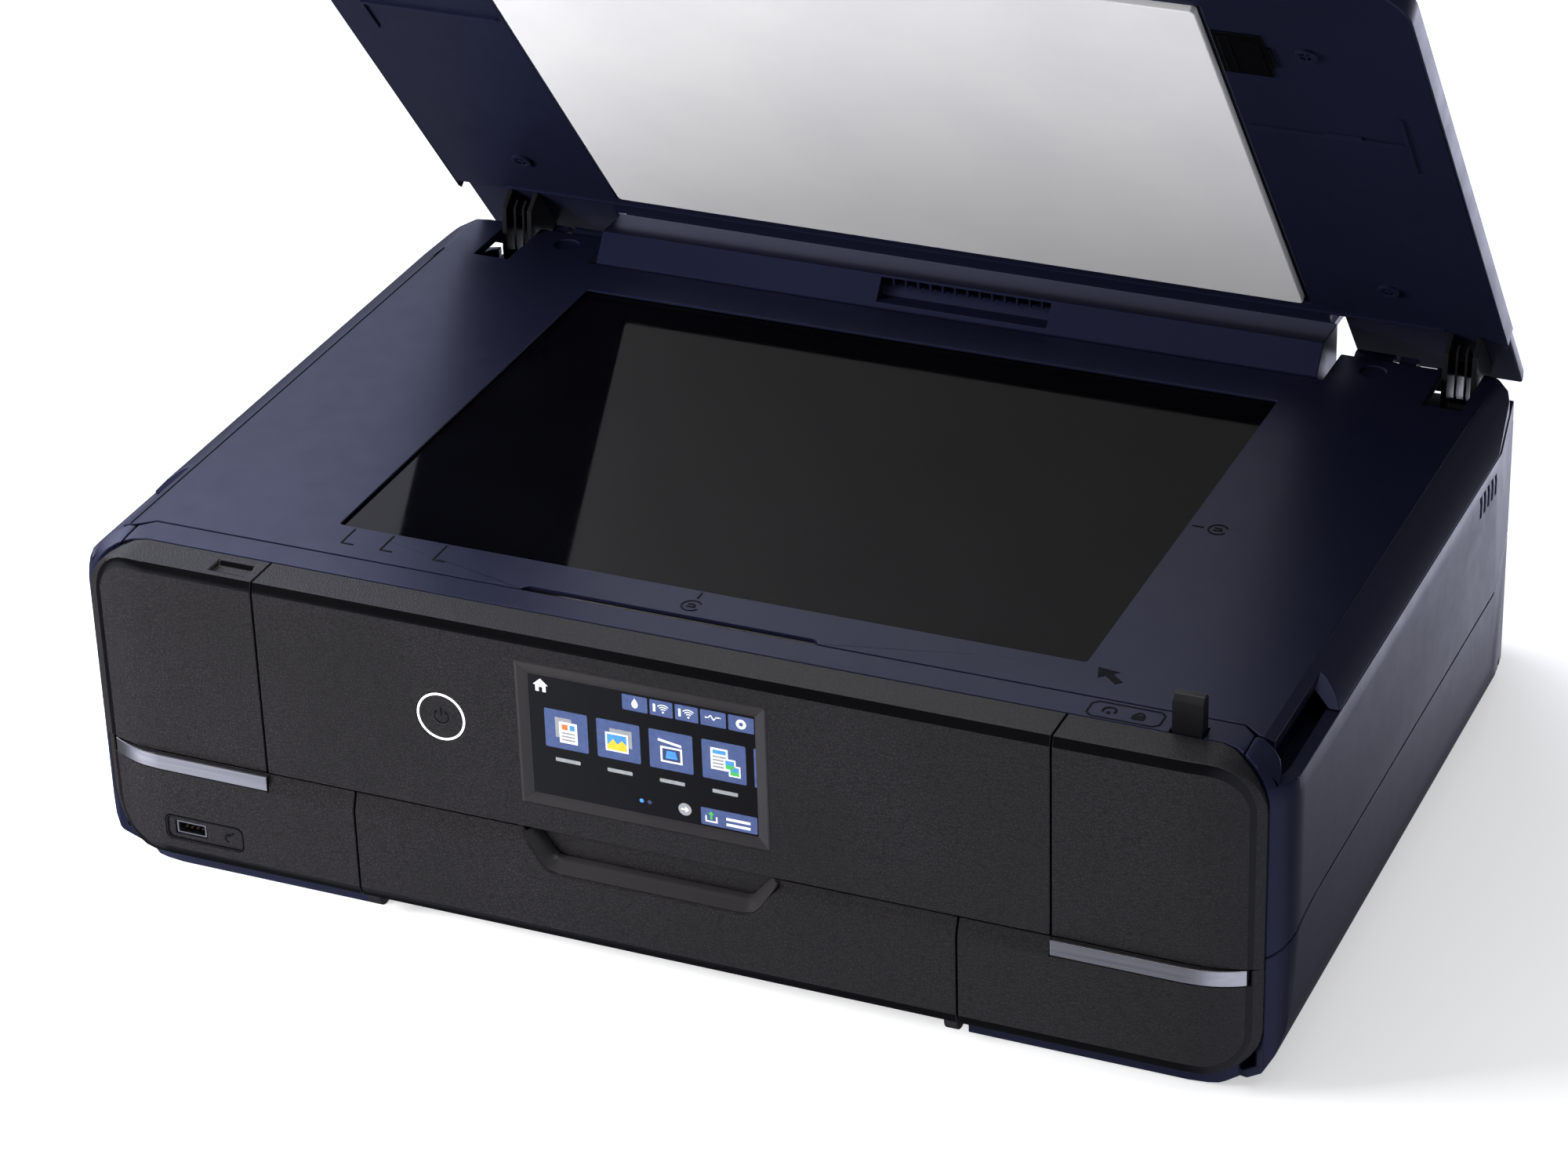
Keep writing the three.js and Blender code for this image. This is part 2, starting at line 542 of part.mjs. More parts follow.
function makeRearFeed() {
  const section = outline([
    [HUMP_FRONT_Y, 126], [HUMP_FRONT_Y, DECK_Z], [129.5, LID_TOP_Z], [148.2, LID_TOP_Z], [148.2, 144],
      [133, 144],
    [126, 134.5], [126, 126],
  ]);
  const body = prismX(section, -HUMP_HALF_WIDTH + 3, HUMP_HALF_WIDTH - 3);
  const endShape = outline([
    [HUMP_FRONT_Y, 126], [HUMP_FRONT_Y, DECK_Z], [129.5, LID_TOP_Z], [148.2, LID_TOP_Z], [148.2, 118.5],
      [157, 118.5],
    [157, 112], [146, 112], [HUMP_FRONT_Y + 4, 126],
  ]);
  const ends = [
    prismX(endShape, -HUMP_HALF_WIDTH, -HUMP_HALF_WIDTH + 3.2),
    prismX(endShape, HUMP_HALF_WIDTH - 3.2, HUMP_HALF_WIDTH),
  ];
  const opening = prismX(outline([[118, 138.6], [130, 138.6], [137, 147], [118, 147]]), -31, 43);
  const pocket = prismX(outline([
    [123.6, 138.2], [129.8, 146.6], [136, 146.6], [138.5, 144.5], [131, 134.4], [124.4, 134.4],
  ]), -32.5, 44.5);
  const ribs = Array.from({ length: 13 }, (_, i) => prismX(outline([
    [130.2, 143], [133.4, 143], [135.4, 147], [129.4, 147],
  ]), -26.6 + i * 5.4, -25.4 + i * 5.4));
  const hump = cut(join(cut(join(body, ...ends), opening), cut(pocket, opening)), opening);
  piece('rear_feed_hump', join(hump, ...ribs), 'navy');

  const cover = prismX(outline([
    [148.9, 144.5], [148.9, LID_TOP_Z], [174, LID_TOP_Z], [176.4, 145.5], [176.4, 143.4], [174, 141.6],
      [171, 141.6],
    [170, 144.5],
  ]), -156, 156);
  const coverLip = box(-60, 60, 148.9, 150.2, 142.4, 145);
  piece('rear_feed_cover', join(cover, coverLip), 'navy');

  const support = prismY(roundRect(-96, 96, -SUPPORT.length, 0, [2, 2, 9, 9]), 0, SUPPORT.thick)
    .rotate([-SUPPORT.leanDeg, 0, 0])
    .translate([0, SUPPORT.topY, SUPPORT.topZ]);
  piece('paper_support', support, 'greyPlastic');
}

// ---------------------------------------------------------------- scanner unit

const DECK = { low: 133.4, front: -144, rearMid: 119.7, rearSide: 144 };

function makeScannerDeck(group) {
  const rearRight = [[224.5, 113], [222.6, 127], [216.6, 138], [209, DECK.rearSide],
    [160.5, DECK.rearSide],
    [160.5, DECK.rearMid]];
  const plan = outline([
    [-216, DECK.front], [216, DECK.front], [222.6, -149.4], [224.5, -149.4], ...rearRight,
    ...rearRight.map(([x, y]) => [-x, y]).reverse(), [-224.5, -149.4], [-222.6, -149.4],
  ]);
  const plate = prismZ(plan, DECK.low, DECK_Z);
  const aperture = prismZ(roundRect(-GLASS.x, GLASS.x, GLASS.front, GLASS.back, 1.5), 120, 150);
  const glassSeat = box(-153.4, 153.4, -126.2, 100.1, 120, 135.9);
  const pockets = HINGE_SPANS.map(([x0, x1]) => box(x0 - 0.9, x1 + 0.9, 112, 150, 120, 150));
  const dimples = [-177, 177].map((x) => rod('z', x, 133.5, DECK_Z, 5.3, 1.6, 24));
  const scoop = prismZ(roundRect(-63, 55, -150, -141, 3.5), 135.6, 140);
  const skirts = [-1, 1].map((side) => {
    const section = [[224.4, DECK_Z], [231, 134.5], [235.6, 131.2], [238.8, 127.6], [234.6, 127.6],
      [224, DECK.low]];
    const skirt = prismY(outline(section.map(([x, z]) => [side * x, z])), -149.4, 96);
    const grip = prismX(outline([[-163, 126], [-152, 138], [-95, 138], [-111, 126]]), side * 232 - 6,
      side * 232 + 10);
    return cut(skirt, grip.translate([side > 0 ? 2 : -6, 0, 0]).intersect(box(-250, 250, -150, -90, 120,
      140)));
  });
  const rearSkirts = [-1, 1].map((side) => {
    const section = [
      [200, DECK_Z], [224.4, DECK_Z], [231, 134.5], [235.6, 131.2], [238.8, 127.6], [200, 127.6],
    ];
    const rearPlan = [
      [200, 94], [238.8, 94], [238.8, 98], [232.9, 133], [230.4, 139.5], [225.5, 144], [219, 145.6],
      [200, 145.6],
    ];
    const block = prismY(outline(section.map(([x, z]) => [side * x, z])), 94, 146)
      .intersect(prismZ(outline(rearPlan.map(([x, y]) => [side * x, y])), 120, 140));
    return cut(block, block.translate([-2.4 * side, -2.4, -2.6]));
  });
  const grips = [-1, 1].flatMap((side) => [
    sideBox(side, 222, 225, -149.2, -88, 117, 134.5),
    sideBox(side, 222, 235.2, -149.2, -88, 116.5, 118.5),
  ]);
  const rearWalls = [-1, 1].flatMap((side) => [
    sideBox(side, 222, 225, 96, 136, 118.6, 134),
    sideBox(side, 219.8, 222.4, 112, 134, 118.6, 134),
    sideBox(side, 190.8, 193.6, 112, 143, 118.6, 134),
    sideBox(side, 161, 191.2, 139, 142, 118.6, 134),
  ]);
  const knuckles = [-1, 1].flatMap((side) => {
    const x = side * 173;
    return [
      rod('x', x, SCANNER_AXIS.y, SCANNER_AXIS.z, 3.8, 16, 16),
      box(x - 8, x + 8, 142, SCANNER_AXIS.y, 131, DECK.low + 2),
    ];
  });
  const shell = join(plate, ...skirts, ...rearSkirts);
  const opened = cut(shell, aperture, glassSeat, scoop, ...pockets, ...dimples);
  const deck = join(opened, ...grips, ...rearWalls, ...knuckles);
  piece('scanner_deck', deck, 'navy', group);
}

function makeScannerInside(group) {
  piece('scanner_glass', box(-153, 153, -125.8, 99.7, 132.6, 135.6), 'glass', group);
  const pan = box(-158, 158, -132, 108, 113, 132.2);
  const hollow = box(-155.6, 155.6, -129.6, 105.6, 115, 140);
  const rail = rod('x', 0, 30, 119.5, 2.5, 313, 12);
  piece('scanner_pan', join(cut(pan, hollow), rail), 'darkPlastic', group);
  const bar = join(box(-150, -132, -124, 98, 123, 131.6), box(-150, -132, 22, 38, 115.8, 123.5));
  const lens = box(-142.5, -139.5, -115, 90, 130.6, 140);
  piece('scan_bar', cut(bar, lens, rod('x', -141, 30, 119.5, 3, 40, 12)), 'darkPlastic', group);
}

// ---------------------------------------------------------------- document lid, drawn closed, standing open

function makeLid(parent) {
  const pivot = new THREE.Group();
  pivot.position.set(0, LID_AXIS.y, LID_AXIS.z);
  pivot.rotation.x = -LID_OPEN_DEG * Math.PI / 180;
  const group = new THREE.Group();
  group.position.set(0, -LID_AXIS.y, -LID_AXIS.z);
  pivot.add(group);

  const midRear = LID_REAR_Y - 9;
  const slab = prismZ(roundRect(-LID_HALF_WIDTH, LID_HALF_WIDTH, LID_FRONT_Y, midRear, [25, 25, 3, 3]),
    LID_INNER_Z, LID_TOP_Z, 7);
  const tails = [-1, 1].map((side) => {
    const section = outline([
      [midRear - 8, LID_INNER_Z], [midRear, 143.6], [TAIL.rear, 143.6], [TAIL.rear, 146.5],
      [TAIL.rear - 1.5, LID_TOP_Z], [midRear - 8, LID_TOP_Z],
    ]);
    return prismX(section, side > 0 ? TAIL.inner : -TAIL.outer, side > 0 ? TAIL.outer : -TAIL.inner);
  });
  const slope = prismX(outline([
    [midRear - 8, LID_INNER_Z - 1], [midRear - 8, LID_INNER_Z], [midRear + 0.5, 143.9],
    [midRear + 0.5, LID_INNER_Z - 1],
  ]), 157, TAIL.outer + 0.3);
  const pinPocket = box(190.6, 207, -157.9, -148, 130, 145);
  const matSeat = box(-151, 151, -128, 103, 130, 141.2);
  const lid = cut(join(slab, ...tails), slope, slope.mirror([1, 0, 0]), pinPocket, matSeat);
  piece('document_lid', lid, 'navy', group);
  piece('lid_mat', prismZ(roundRect(-149, 149, -126, 101, 2), 137.5, 140.8), 'white', group);

  for (const [name, [x0, x1]] of [['lid_hinge_left', HINGE_SPANS[0]], ['lid_hinge_right', HINGE_SPANS[1]]]) {
    const centre = (x0 + x1) / 2;
    const arm = outline([
      [119.5, 143.2], [119.5, 134], [133, 121], [LID_AXIS.y - 4, 117.6], [LID_AXIS.y + 4, 117.6],
        [146.5, 123],
      [146.5, 143.2],
    ]);
    const ribs = [x0, x1 - 2.2].map((x) => prismX(arm, x, x + 2.2));
    const barrel = rod('x', centre, LID_AXIS.y, LID_AXIS.z, 4.2, x1 - x0, 16);
    const web = prismX(outline([[125, 134.6], [140, 134.6], [140, 137], [125, 137]]), x0 + 1, x1 - 1);
    piece(name, join(...ribs, barrel, web), 'darkPlastic', group);
  }
  parent.add(pivot);
}

// ---------------------------------------------------------------- paper trays

function tray(x, y0, y1, z0, z1, wall, floor) {
  return cut(box(-x, x, y0, y1, z0, z1), box(-x + wall, x - wall, y0 + wall, y1 - wall, z0 + floor,
    z1 + 5));
}

function makeTrays() {
  const paper = tray(113.5, -142, 152, 13.6, 30, 2.2, 2);
  const paperGrip = prismY(roundRect(-34, 34, 17, 26, 4), -150, -141);
  const photo = tray(110, -150, 52, 31.6, 46, 2.2, 2);
  const photoGrip = prismY(roundRect(-30, 30, 34.5, 42.5, 3.5), -160, -149);
  piece('paper_cassette', cut(paper, paperGrip), 'darkPlastic');
  piece('photo_cassette', cut(photo, photoGrip), 'darkPlastic');
  for (const [name, side] of [['edge_guide_left', -1], ['edge_guide_right', 1]]) {
    const fence = sideBox(side, 106, 108, -60, 10, 16.2, 29);
    const shoe = sideBox(side, 96, 107, -52, -22, 16.2, 17.8);
    piece(name, join(fence, shoe), 'greyPlastic');
  }
  const plate = prismZ(roundRect(-112, 112, -130, 40, [10, 10, 2, 2]), 63, 66);
  const walls = [-1, 1].map((side) => sideBox(side, 109.5, 112, -118, 40, 66, 68));
  const hole = prismZ(roundRect(-22, 22, -122, -108, 6), 60, 70);
  piece('output_tray', cut(join(plate, ...walls), hole), 'darkPlastic');
  const stage = prismZ(roundRect(-72, 72, -108, 30, [12, 12, 2, 2]), 59, 62.4);
  piece('output_tray_extension', stage, 'darkPlastic');
}

// ---------------------------------------------------------------- print engine

const CARRIAGE = { x0: 84, x1: 196, front: -86, back: -9, low: 79.5, high: 104 };
const INKS = ['black', 'cyan', 'magenta', 'yellow', 'light_cyan', 'light_magenta'];

function makeEngine() {
  const frame = join(
    cut(box(-206, 206, 24, 26, 50, 111), box(-118, 118, 20, 30, 40, 71)),
    box(-206, 206, 18.5, 24.2, 108.6, 111),
    box(-206, -203.5, -90, 24.2, 50, 111),
    box(203.5, 206, -90, 24.2, 50, 111),
    rod('y', -190, 22, 96, 4.6, 5, 16));
  piece('carriage_frame', cut(frame, rod('y', 190, 25, 96, 5.4, 6, 16)), 'steel');
  const loop = (grow) => {
    const shape = new THREE.Shape();
    shape.absarc(-190, 96, 5 + grow, Math.PI / 2, 1.5 * Math.PI, false);
    shape.absarc(190, 96, 5 + grow, -Math.PI / 2, Math.PI / 2, false);
    return shape;
  };
  piece('timing_belt', cut(prismY(loop(1.2), 19.4, 23.2, 10), prismY(loop(0), 15, 30, 10)), 'rubber');
  const motor = join(rod('y', 190, 43, 96, 14, 33, 20), rod('y', 190, 22.5, 96, 4.6, 8, 16));
  piece('carriage_motor', motor, 'steel');
  piece('platen', join(
    box(-110, 110, -86, -10, 72.4, 75),
    ...Array.from({ length: 8 }, (_, i) => box(-101 + i * 28, -99 + i * 28, -84, -12, 74.8, 77))),
      'darkPlastic');
  piece('feed_roller', join(rod('x', 0, 3, 77, 6, 218, 20), rod('x', 0, 3, 77, 2.5, 398, 12)),
    'rubber');
  piece('exit_roller', join(
    rod('x', 0, -96, 75, 2, 398, 12),
    ...[-90, -45, 0, 45, 90].map((x) => rod('x', x, -96, 75, 4.6, 16, 16))), 'rubber');
  piece('capping_station', cut(box(118, 196, -84, -12, 52, 78), box(130, 184, -70, -26, 70, 90)),
    'greyPlastic');
}

function makeCarriage() {
  const group = new THREE.Group();
  const c = CARRIAGE;
  const pitch = (c.x1 - c.x0 - 4) / INKS.length;
  const bays = INKS.map((_, i) => box(c.x0 + 2.6 + i * pitch, c.x0 + 1.4 + (i + 1) * pitch, c.front + 3,
    c.back - 3,
    c.low + 5, c.high + 5));
  const hook = box(c.x0 + 1, c.x1 - 1, c.back - 1, 18, 92, c.high);
  piece('print_carriage', join(cut(box(c.x0, c.x1, c.front, c.back, c.low, c.high), ...bays), hook),
    'darkPlastic', group);
  INKS.forEach((ink, i) => {
    const x0 = c.x0 + 3 + i * pitch;
    const x1 = c.x0 + 1 + (i + 1) * pitch;
    const cell = join(
      box(x0, x1, c.front + 3.4, c.back - 3.4, c.low + 5.4, c.high + 4),
      box(x0 + 3, x1 - 3, c.front + 5, c.front + 17, c.high + 3, c.high + 6));
    piece(`ink_cartridge_${ink}`, cell, 'darkPlastic', group);
  });
  printer.add(group);
}

function makeElectronics() {
  const board = join(box(-207, -205.4, -70, 60, 14, 48), box(-205.5, -192, -40, -20, 20, 34),
    box(-205.5, -196, 0, 24, 18, 40));
  piece('main_board', board, 'board');
  piece('power_supply', join(box(-200, -122, 66, 140, 8, 56), box(-192, -130, 72, 134, 55.5, 60)),
    'greyPlastic');
}

// ---------------------------------------------------------------- assembly

makeTrims();
makeLowerFrontPanels();
makeUpperRightPanel();
makeControlPanel();
makeCardDoor();
makeFrontCover();
makeSideCovers();
makeBase();
makeFrontStrip();
makeInterlockPin();
makeRearPanel();
makeFeet();
makeRearFeed();
makeTrays();
makeEngine();
makeCarriage();
makeElectronics();

const scannerUnit = new THREE.Group();
makeScannerDeck(scannerUnit);
makeScannerInside(scannerUnit);
makeLid(scannerUnit);
printer.add(scannerUnit);

export default printer;
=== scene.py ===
"""The looks of a desktop inkjet printer: its pieces, finishes, lights and camera, in metres."""

import json
import math

import bmesh
import bpy
from mathutils import Matrix, Vector


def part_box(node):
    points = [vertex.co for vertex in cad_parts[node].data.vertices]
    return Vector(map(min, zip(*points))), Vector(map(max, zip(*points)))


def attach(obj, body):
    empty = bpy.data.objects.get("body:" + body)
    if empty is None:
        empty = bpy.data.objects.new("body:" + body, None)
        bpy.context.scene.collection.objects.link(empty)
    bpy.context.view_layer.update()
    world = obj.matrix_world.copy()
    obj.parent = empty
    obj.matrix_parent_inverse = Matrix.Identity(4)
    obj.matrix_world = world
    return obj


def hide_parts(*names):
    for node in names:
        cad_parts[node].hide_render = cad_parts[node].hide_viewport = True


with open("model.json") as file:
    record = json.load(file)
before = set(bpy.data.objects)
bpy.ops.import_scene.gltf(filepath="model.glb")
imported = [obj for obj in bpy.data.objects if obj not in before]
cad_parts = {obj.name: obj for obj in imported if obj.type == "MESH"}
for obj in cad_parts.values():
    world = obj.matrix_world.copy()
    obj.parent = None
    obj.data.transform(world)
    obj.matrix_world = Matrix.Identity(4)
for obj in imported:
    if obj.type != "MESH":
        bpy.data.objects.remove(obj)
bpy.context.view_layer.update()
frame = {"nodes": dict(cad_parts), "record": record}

RECORD = frame["record"]
SCENE = bpy.context.scene
BODY_OF = {node: body for body, nodes in RECORD["behaviour"]["bodies"].items() for node in nodes}
SLOT_OF = {part["node"]: part["material_slot"] for part in RECORD["subparts"]}
JOINT = {joint["name"]: joint for joint in RECORD["behaviour"]["joints"]}
MM = 0.001

# ---------------------------------------------------------------- camera

CAMERA_AT = Vector((0.6346, -1.4679, 0.9618))
CAMERA_AZIMUTH = 24.09
CAMERA_ELEVATION = 29.01
CAMERA_TILT = -1.85        # turn about the line of sight, in degrees
LENS_MM = 106.8


def add_camera():
    data = bpy.data.cameras.new("camera")
    data.lens = LENS_MM
    data.sensor_width = 36
    data.clip_end = 20
    camera = bpy.data.objects.new("camera", data)
    SCENE.collection.objects.link(camera)
    azimuth, elevation = math.radians(CAMERA_AZIMUTH), math.radians(CAMERA_ELEVATION)
    forward = Vector((
        -math.sin(azimuth) * math.cos(elevation),
        math.cos(azimuth) * math.cos(elevation),
        -math.sin(elevation)))
    level = Vector((math.cos(azimuth), math.sin(azimuth), 0))
    right = Matrix.Rotation(math.radians(CAMERA_TILT), 3, -forward) @ level
    up = right.cross(forward)
    turn = Matrix((right, up, -forward)).transposed()
    camera.matrix_world = Matrix.Translation(CAMERA_AT) @ turn.to_4x4()
    SCENE.camera = camera


add_camera()

# ---------------------------------------------------------------- finishes


class Graph:
    """A material's node tree, with short ways to add and join nodes."""

    def __init__(self, name):
        self.material = bpy.data.materials.new(name)
        self.material.use_nodes = True
        self.tree = self.material.node_tree
        self.shader = self.tree.nodes["Principled BSDF"]
        self.place = self.node("ShaderNodeTexCoord").outputs["Object"]

    def node(self, kind, **settings):
        made = self.tree.nodes.new(kind)
        for name, value in settings.items():
            setattr(made, name, value)
        return made

    def link(self, source, target):
        self.tree.links.new(source, target)

    def stretch(self, scale):
        mapping = self.node("ShaderNodeMapping")
        mapping.inputs["Scale"].default_value = scale
        self.link(self.place, mapping.inputs["Vector"])
        return mapping.outputs["Vector"]

    def noise(self, scale, detail=3.0, rough=0.5, where=None, distortion=0.0):
        made = self.node("ShaderNodeTexNoise")
        made.inputs["Scale"].default_value = scale
        made.inputs["Detail"].default_value = detail
        made.inputs["Roughness"].default_value = rough
        made.inputs["Distortion"].default_value = distortion
        self.link(where or self.place, made.inputs["Vector"])
        return made.outputs["Fac"]

    def spread(self, value, low, high, source=(0.3, 0.7)):
        made = self.node("ShaderNodeMapRange")
        made.inputs["From Min"].default_value, made.inputs["From Max"].default_value = source
        made.inputs["To Min"].default_value, made.inputs["To Max"].default_value = low, high
        self.link(value, made.inputs["Value"])
        return made.outputs["Result"]

    def maths(self, operation, first, second):
        made = self.node("ShaderNodeMath", operation=operation)
        for socket, value in zip(made.inputs, (first, second)):
            if isinstance(value, (int, float)):
                socket.default_value = value
            else:
                self.link(value, socket)
        return made.outputs["Value"]

    def mix(self, factor, first, second):
        made = self.node("ShaderNodeMix", data_type="RGBA")
        self.link(factor, made.inputs["Factor"])
        for socket, value in ((made.inputs[6], first), (made.inputs[7], second)):
            if isinstance(value, tuple):
                socket.default_value = (*value, 1)
            else:
                self.link(value, socket)
        return made.outputs[2]

    def bump(self, height, strength, distance):
        made = self.node("ShaderNodeBump")
        made.inputs["Strength"].default_value = strength
        made.inputs["Distance"].default_value = distance
        self.link(height, made.inputs["Height"])
        self.link(made.outputs["Normal"], self.shader.inputs["Normal"])


def srgb(r, g, b):
    """A colour from 0 to 255, as light."""
    return tuple(((v / 255 + 0.055) / 1.055) ** 2.4 if v > 10 else v / 255 / 12.92 for v in (r, g, b))


def moulded(name, light, dark, rough, grain=(1500, 0.15, 0.05), metallic=0.0, coat=0.0, cloud=14, rough_spread=0.06,
            specular=0.5, tint=(1, 1, 1)):
    """Moulded or polished plastic: slow tone changes, fine moulding grain and uneven sheen."""
    g = Graph(name)
    g.link(g.mix(g.spread(g.noise(cloud, 4), 0, 1), light, dark), g.shader.inputs["Base Color"])
    g.link(g.spread(g.noise(90, 5, 0.6), rough - rough_spread, rough + rough_spread), g.shader.inputs["Roughness"])
    scale, strength, depth = grain
    g.bump(g.noise(scale, 4, 0.6), strength, depth * MM)
    g.shader.inputs["Metallic"].default_value = metallic
    g.shader.inputs["Specular IOR Level"].default_value = specular
    g.shader.inputs["Specular Tint"].default_value = (*tint, 1)
    g.shader.inputs["Coat Weight"].default_value = coat
    g.shader.inputs["Coat Roughness"].default_value = 0.04
    return g.material


def leather(name, light, dark, rough):
    """Charcoal plastic with a fine leather grain: pebbles between shallow creases, the creases painted darker as
    painted shade.
    """
    g = Graph(name)
    bent = g.node("ShaderNodeVectorMath", operation="MULTIPLY_ADD")
    wobble = g.node("ShaderNodeTexNoise")
    wobble.inputs["Scale"].default_value = 260
    wobble.inputs["Detail"].default_value = 3
    g.link(g.place, wobble.inputs["Vector"])
    g.link(wobble.outputs["Color"], bent.inputs[0])
    bent.inputs[1].default_value = (0.0016, 0.0016, 0.0016)
    g.link(g.place, bent.inputs[2])
    cells = g.node("ShaderNodeTexVoronoi", feature="DISTANCE_TO_EDGE")
    cells.inputs["Scale"].default_value = 780
    g.link(bent.outputs["Vector"], cells.inputs["Vector"])
    pebble = g.spread(cells.outputs["Distance"], 0, 1, (0.0, 0.22))
    shade = g.mix(g.spread(g.noise(12, 4), 0, 1), light, dark)
    # painted shade: the creases between the pebbles are painted at 0.55 of the dark tone
    painted_crease_shade = g.mix(pebble, tuple(0.55 * v for v in dark), shade)
    g.link(painted_crease_shade, g.shader.inputs["Base Color"])
    g.link(g.spread(g.noise(700, 4, 0.6), rough - 0.07, rough + 0.07), g.shader.inputs["Roughness"])
    fine = g.maths("MULTIPLY", g.noise(1900, 3), 0.3)
    g.bump(g.maths("ADD", pebble, fine), 0.5, 0.1 * MM)
    return g.material


def brushed(name, light, dark, rough, along=(40, 900, 900)):
    """Metal drawn along X, with fine lines and a few clouds."""
    g = Graph(name)
    lines = g.noise(1.0, 5, 0.6, g.stretch(along))
    g.link(g.mix(g.spread(lines, 0, 1), light, dark), g.shader.inputs["Base Color"])
    g.link(g.spread(lines, rough - 0.06, rough + 0.08), g.shader.inputs["Roughness"])
    g.bump(lines, 0.08, 0.02 * MM)
    g.shader.inputs["Metallic"].default_value = 1.0
    return g.material


def lit(name, colour, strength, dark=0.82):
    """A glowing patch with the faint unevenness of a lit screen or light guide."""
    g = Graph(name)
    glow = g.mix(g.spread(g.noise(500, 3), 0, 1), colour, tuple(dark * v for v in colour))
    g.link(glow, g.shader.inputs["Base Color"])
    g.link(glow, g.shader.inputs["Emission Color"])
    g.link(g.spread(g.noise(300, 2), 0.25, 0.4), g.shader.inputs["Roughness"])
    g.shader.inputs["Emission Strength"].default_value = strength
    return g.material


NAVY = moulded("navy_casing", srgb(21, 23, 40), srgb(17, 19, 34), 0.36, grain=(2600, 0.1, 0.03), cloud=7,
               rough_spread=0.03, specular=0.6, tint=(0.5, 0.56, 1.0))
LEATHER = leather("charcoal_leather", srgb(37, 34, 36), srgb(30, 28, 29), 0.5)
SATIN = moulded("charcoal_smooth", srgb(46, 44, 45), srgb(38, 36, 37), 0.34, rough_spread=0.04)
GLOSS = moulded("gloss_black", srgb(6, 6, 7), srgb(3, 3, 4), 0.08, grain=(600, 0.03, 0.02), rough_spread=0.02,
                specular=0.35)
CHROME = brushed("satin_chrome", (0.78, 0.78, 0.8), (0.72, 0.72, 0.74), 0.26, along=(10, 500, 500))
SCREEN = moulded("screen_glass", srgb(7, 7, 9), srgb(4, 4, 6), 0.09, grain=(300, 0.02, 0.01), rough_spread=0.02)
GLASS = moulded("scanner_glass", srgb(6, 6, 8), srgb(3, 3, 4), 0.05, grain=(40, 0.01, 0.02), rough_spread=0.015,
                specular=0.09, tint=(1.0, 0.93, 0.9))
WHITE = moulded("white_mat", srgb(194, 193, 194), srgb(187, 186, 188), 0.6, grain=(1200, 0.25, 0.05))
DARK = moulded("dark_plastic", srgb(24, 24, 26), srgb(18, 18, 20), 0.42)
GREY = moulded("grey_plastic", srgb(98, 99, 104), srgb(84, 85, 90), 0.5)
STEEL = brushed("zinc_sheet", (0.56, 0.57, 0.6), (0.46, 0.47, 0.5), 0.34)
RUBBER = moulded("rubber", srgb(30, 30, 30), srgb(20, 20, 20), 0.82, grain=(900, 0.4, 0.1))
CELL = moulded("cartridge_shell", srgb(28, 28, 31), srgb(20, 20, 23), 0.4)
BOARD = moulded("solder_mask", srgb(24, 74, 50), srgb(18, 60, 40), 0.35, grain=(400, 0.2, 0.05))
COPPER = brushed("contact_metal", (0.78, 0.62, 0.36), (0.66, 0.5, 0.26), 0.3)
MARK = moulded("moulded_mark", srgb(9, 10, 16), srgb(5, 6, 10), 0.5, grain=(1200, 0.1, 0.02), specular=0.1)
TILE = lit("screen_tile", srgb(58, 72, 112), 0.6)
TILE_DIM = lit("screen_tile_dim", srgb(42, 54, 88), 0.6)
PAPER_LIT = lit("screen_white", srgb(196, 200, 206), 0.5, 0.95)
GREY_LIT = lit("screen_grey", srgb(128, 130, 134), 0.5)
BLUE_LIT = lit("screen_blue", srgb(58, 122, 190), 0.55)
ORANGE_LIT = lit("screen_orange", srgb(196, 96, 46), 0.55)
YELLOW_LIT = lit("screen_yellow", srgb(196, 168, 40), 0.55)
GREEN_LIT = lit("screen_green", srgb(62, 156, 74), 0.55)
RING_LIT = lit("light_guide", (1.0, 1.0, 1.0), 1.5, 0.94)

FINISH = {
    "navy_casing": NAVY, "charcoal_panel": LEATHER, "chrome_trim": CHROME, "screen": SCREEN,
    "scanner_glass": GLASS, "white_mat": WHITE, "dark_plastic": DARK, "grey_plastic": GREY, "steel": STEEL,
    "foot_rubber": RUBBER, "cartridge": CELL, "circuit_board": BOARD,
}

# ---------------------------------------------------------------- mesh helpers


def finish_piece(bm, name, materials, body, bevel=0.0, segments=2, replaces=(), place=None):
    """Turns a bmesh into a piece that rides on a body, with its edges rounded."""
    bmesh.ops.recalc_face_normals(bm, faces=bm.faces)
    if place is not None:
        bmesh.ops.transform(bm, matrix=place, verts=bm.verts)
    for face in bm.faces:
        face.smooth = True
    mesh = bpy.data.meshes.new(name)
    bm.to_mesh(mesh)
    bm.free()
    for material in materials:
        mesh.materials.append(material)
    piece = bpy.data.objects.new(name, mesh)
    SCENE.collection.objects.link(piece)
    if bevel:
        rounding = piece.modifiers.new("rounding", "BEVEL")
        rounding.width = bevel * MM
        rounding.segments = segments
        rounding.limit_method = "ANGLE"
        rounding.angle_limit = math.radians(33)
        rounding.use_clamp_overlap = False
    shading = piece.modifiers.new("shading", "WEIGHTED_NORMAL")
    shading.keep_sharp = True
    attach(piece, body)
    if replaces:
        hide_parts(*replaces)
    return piece


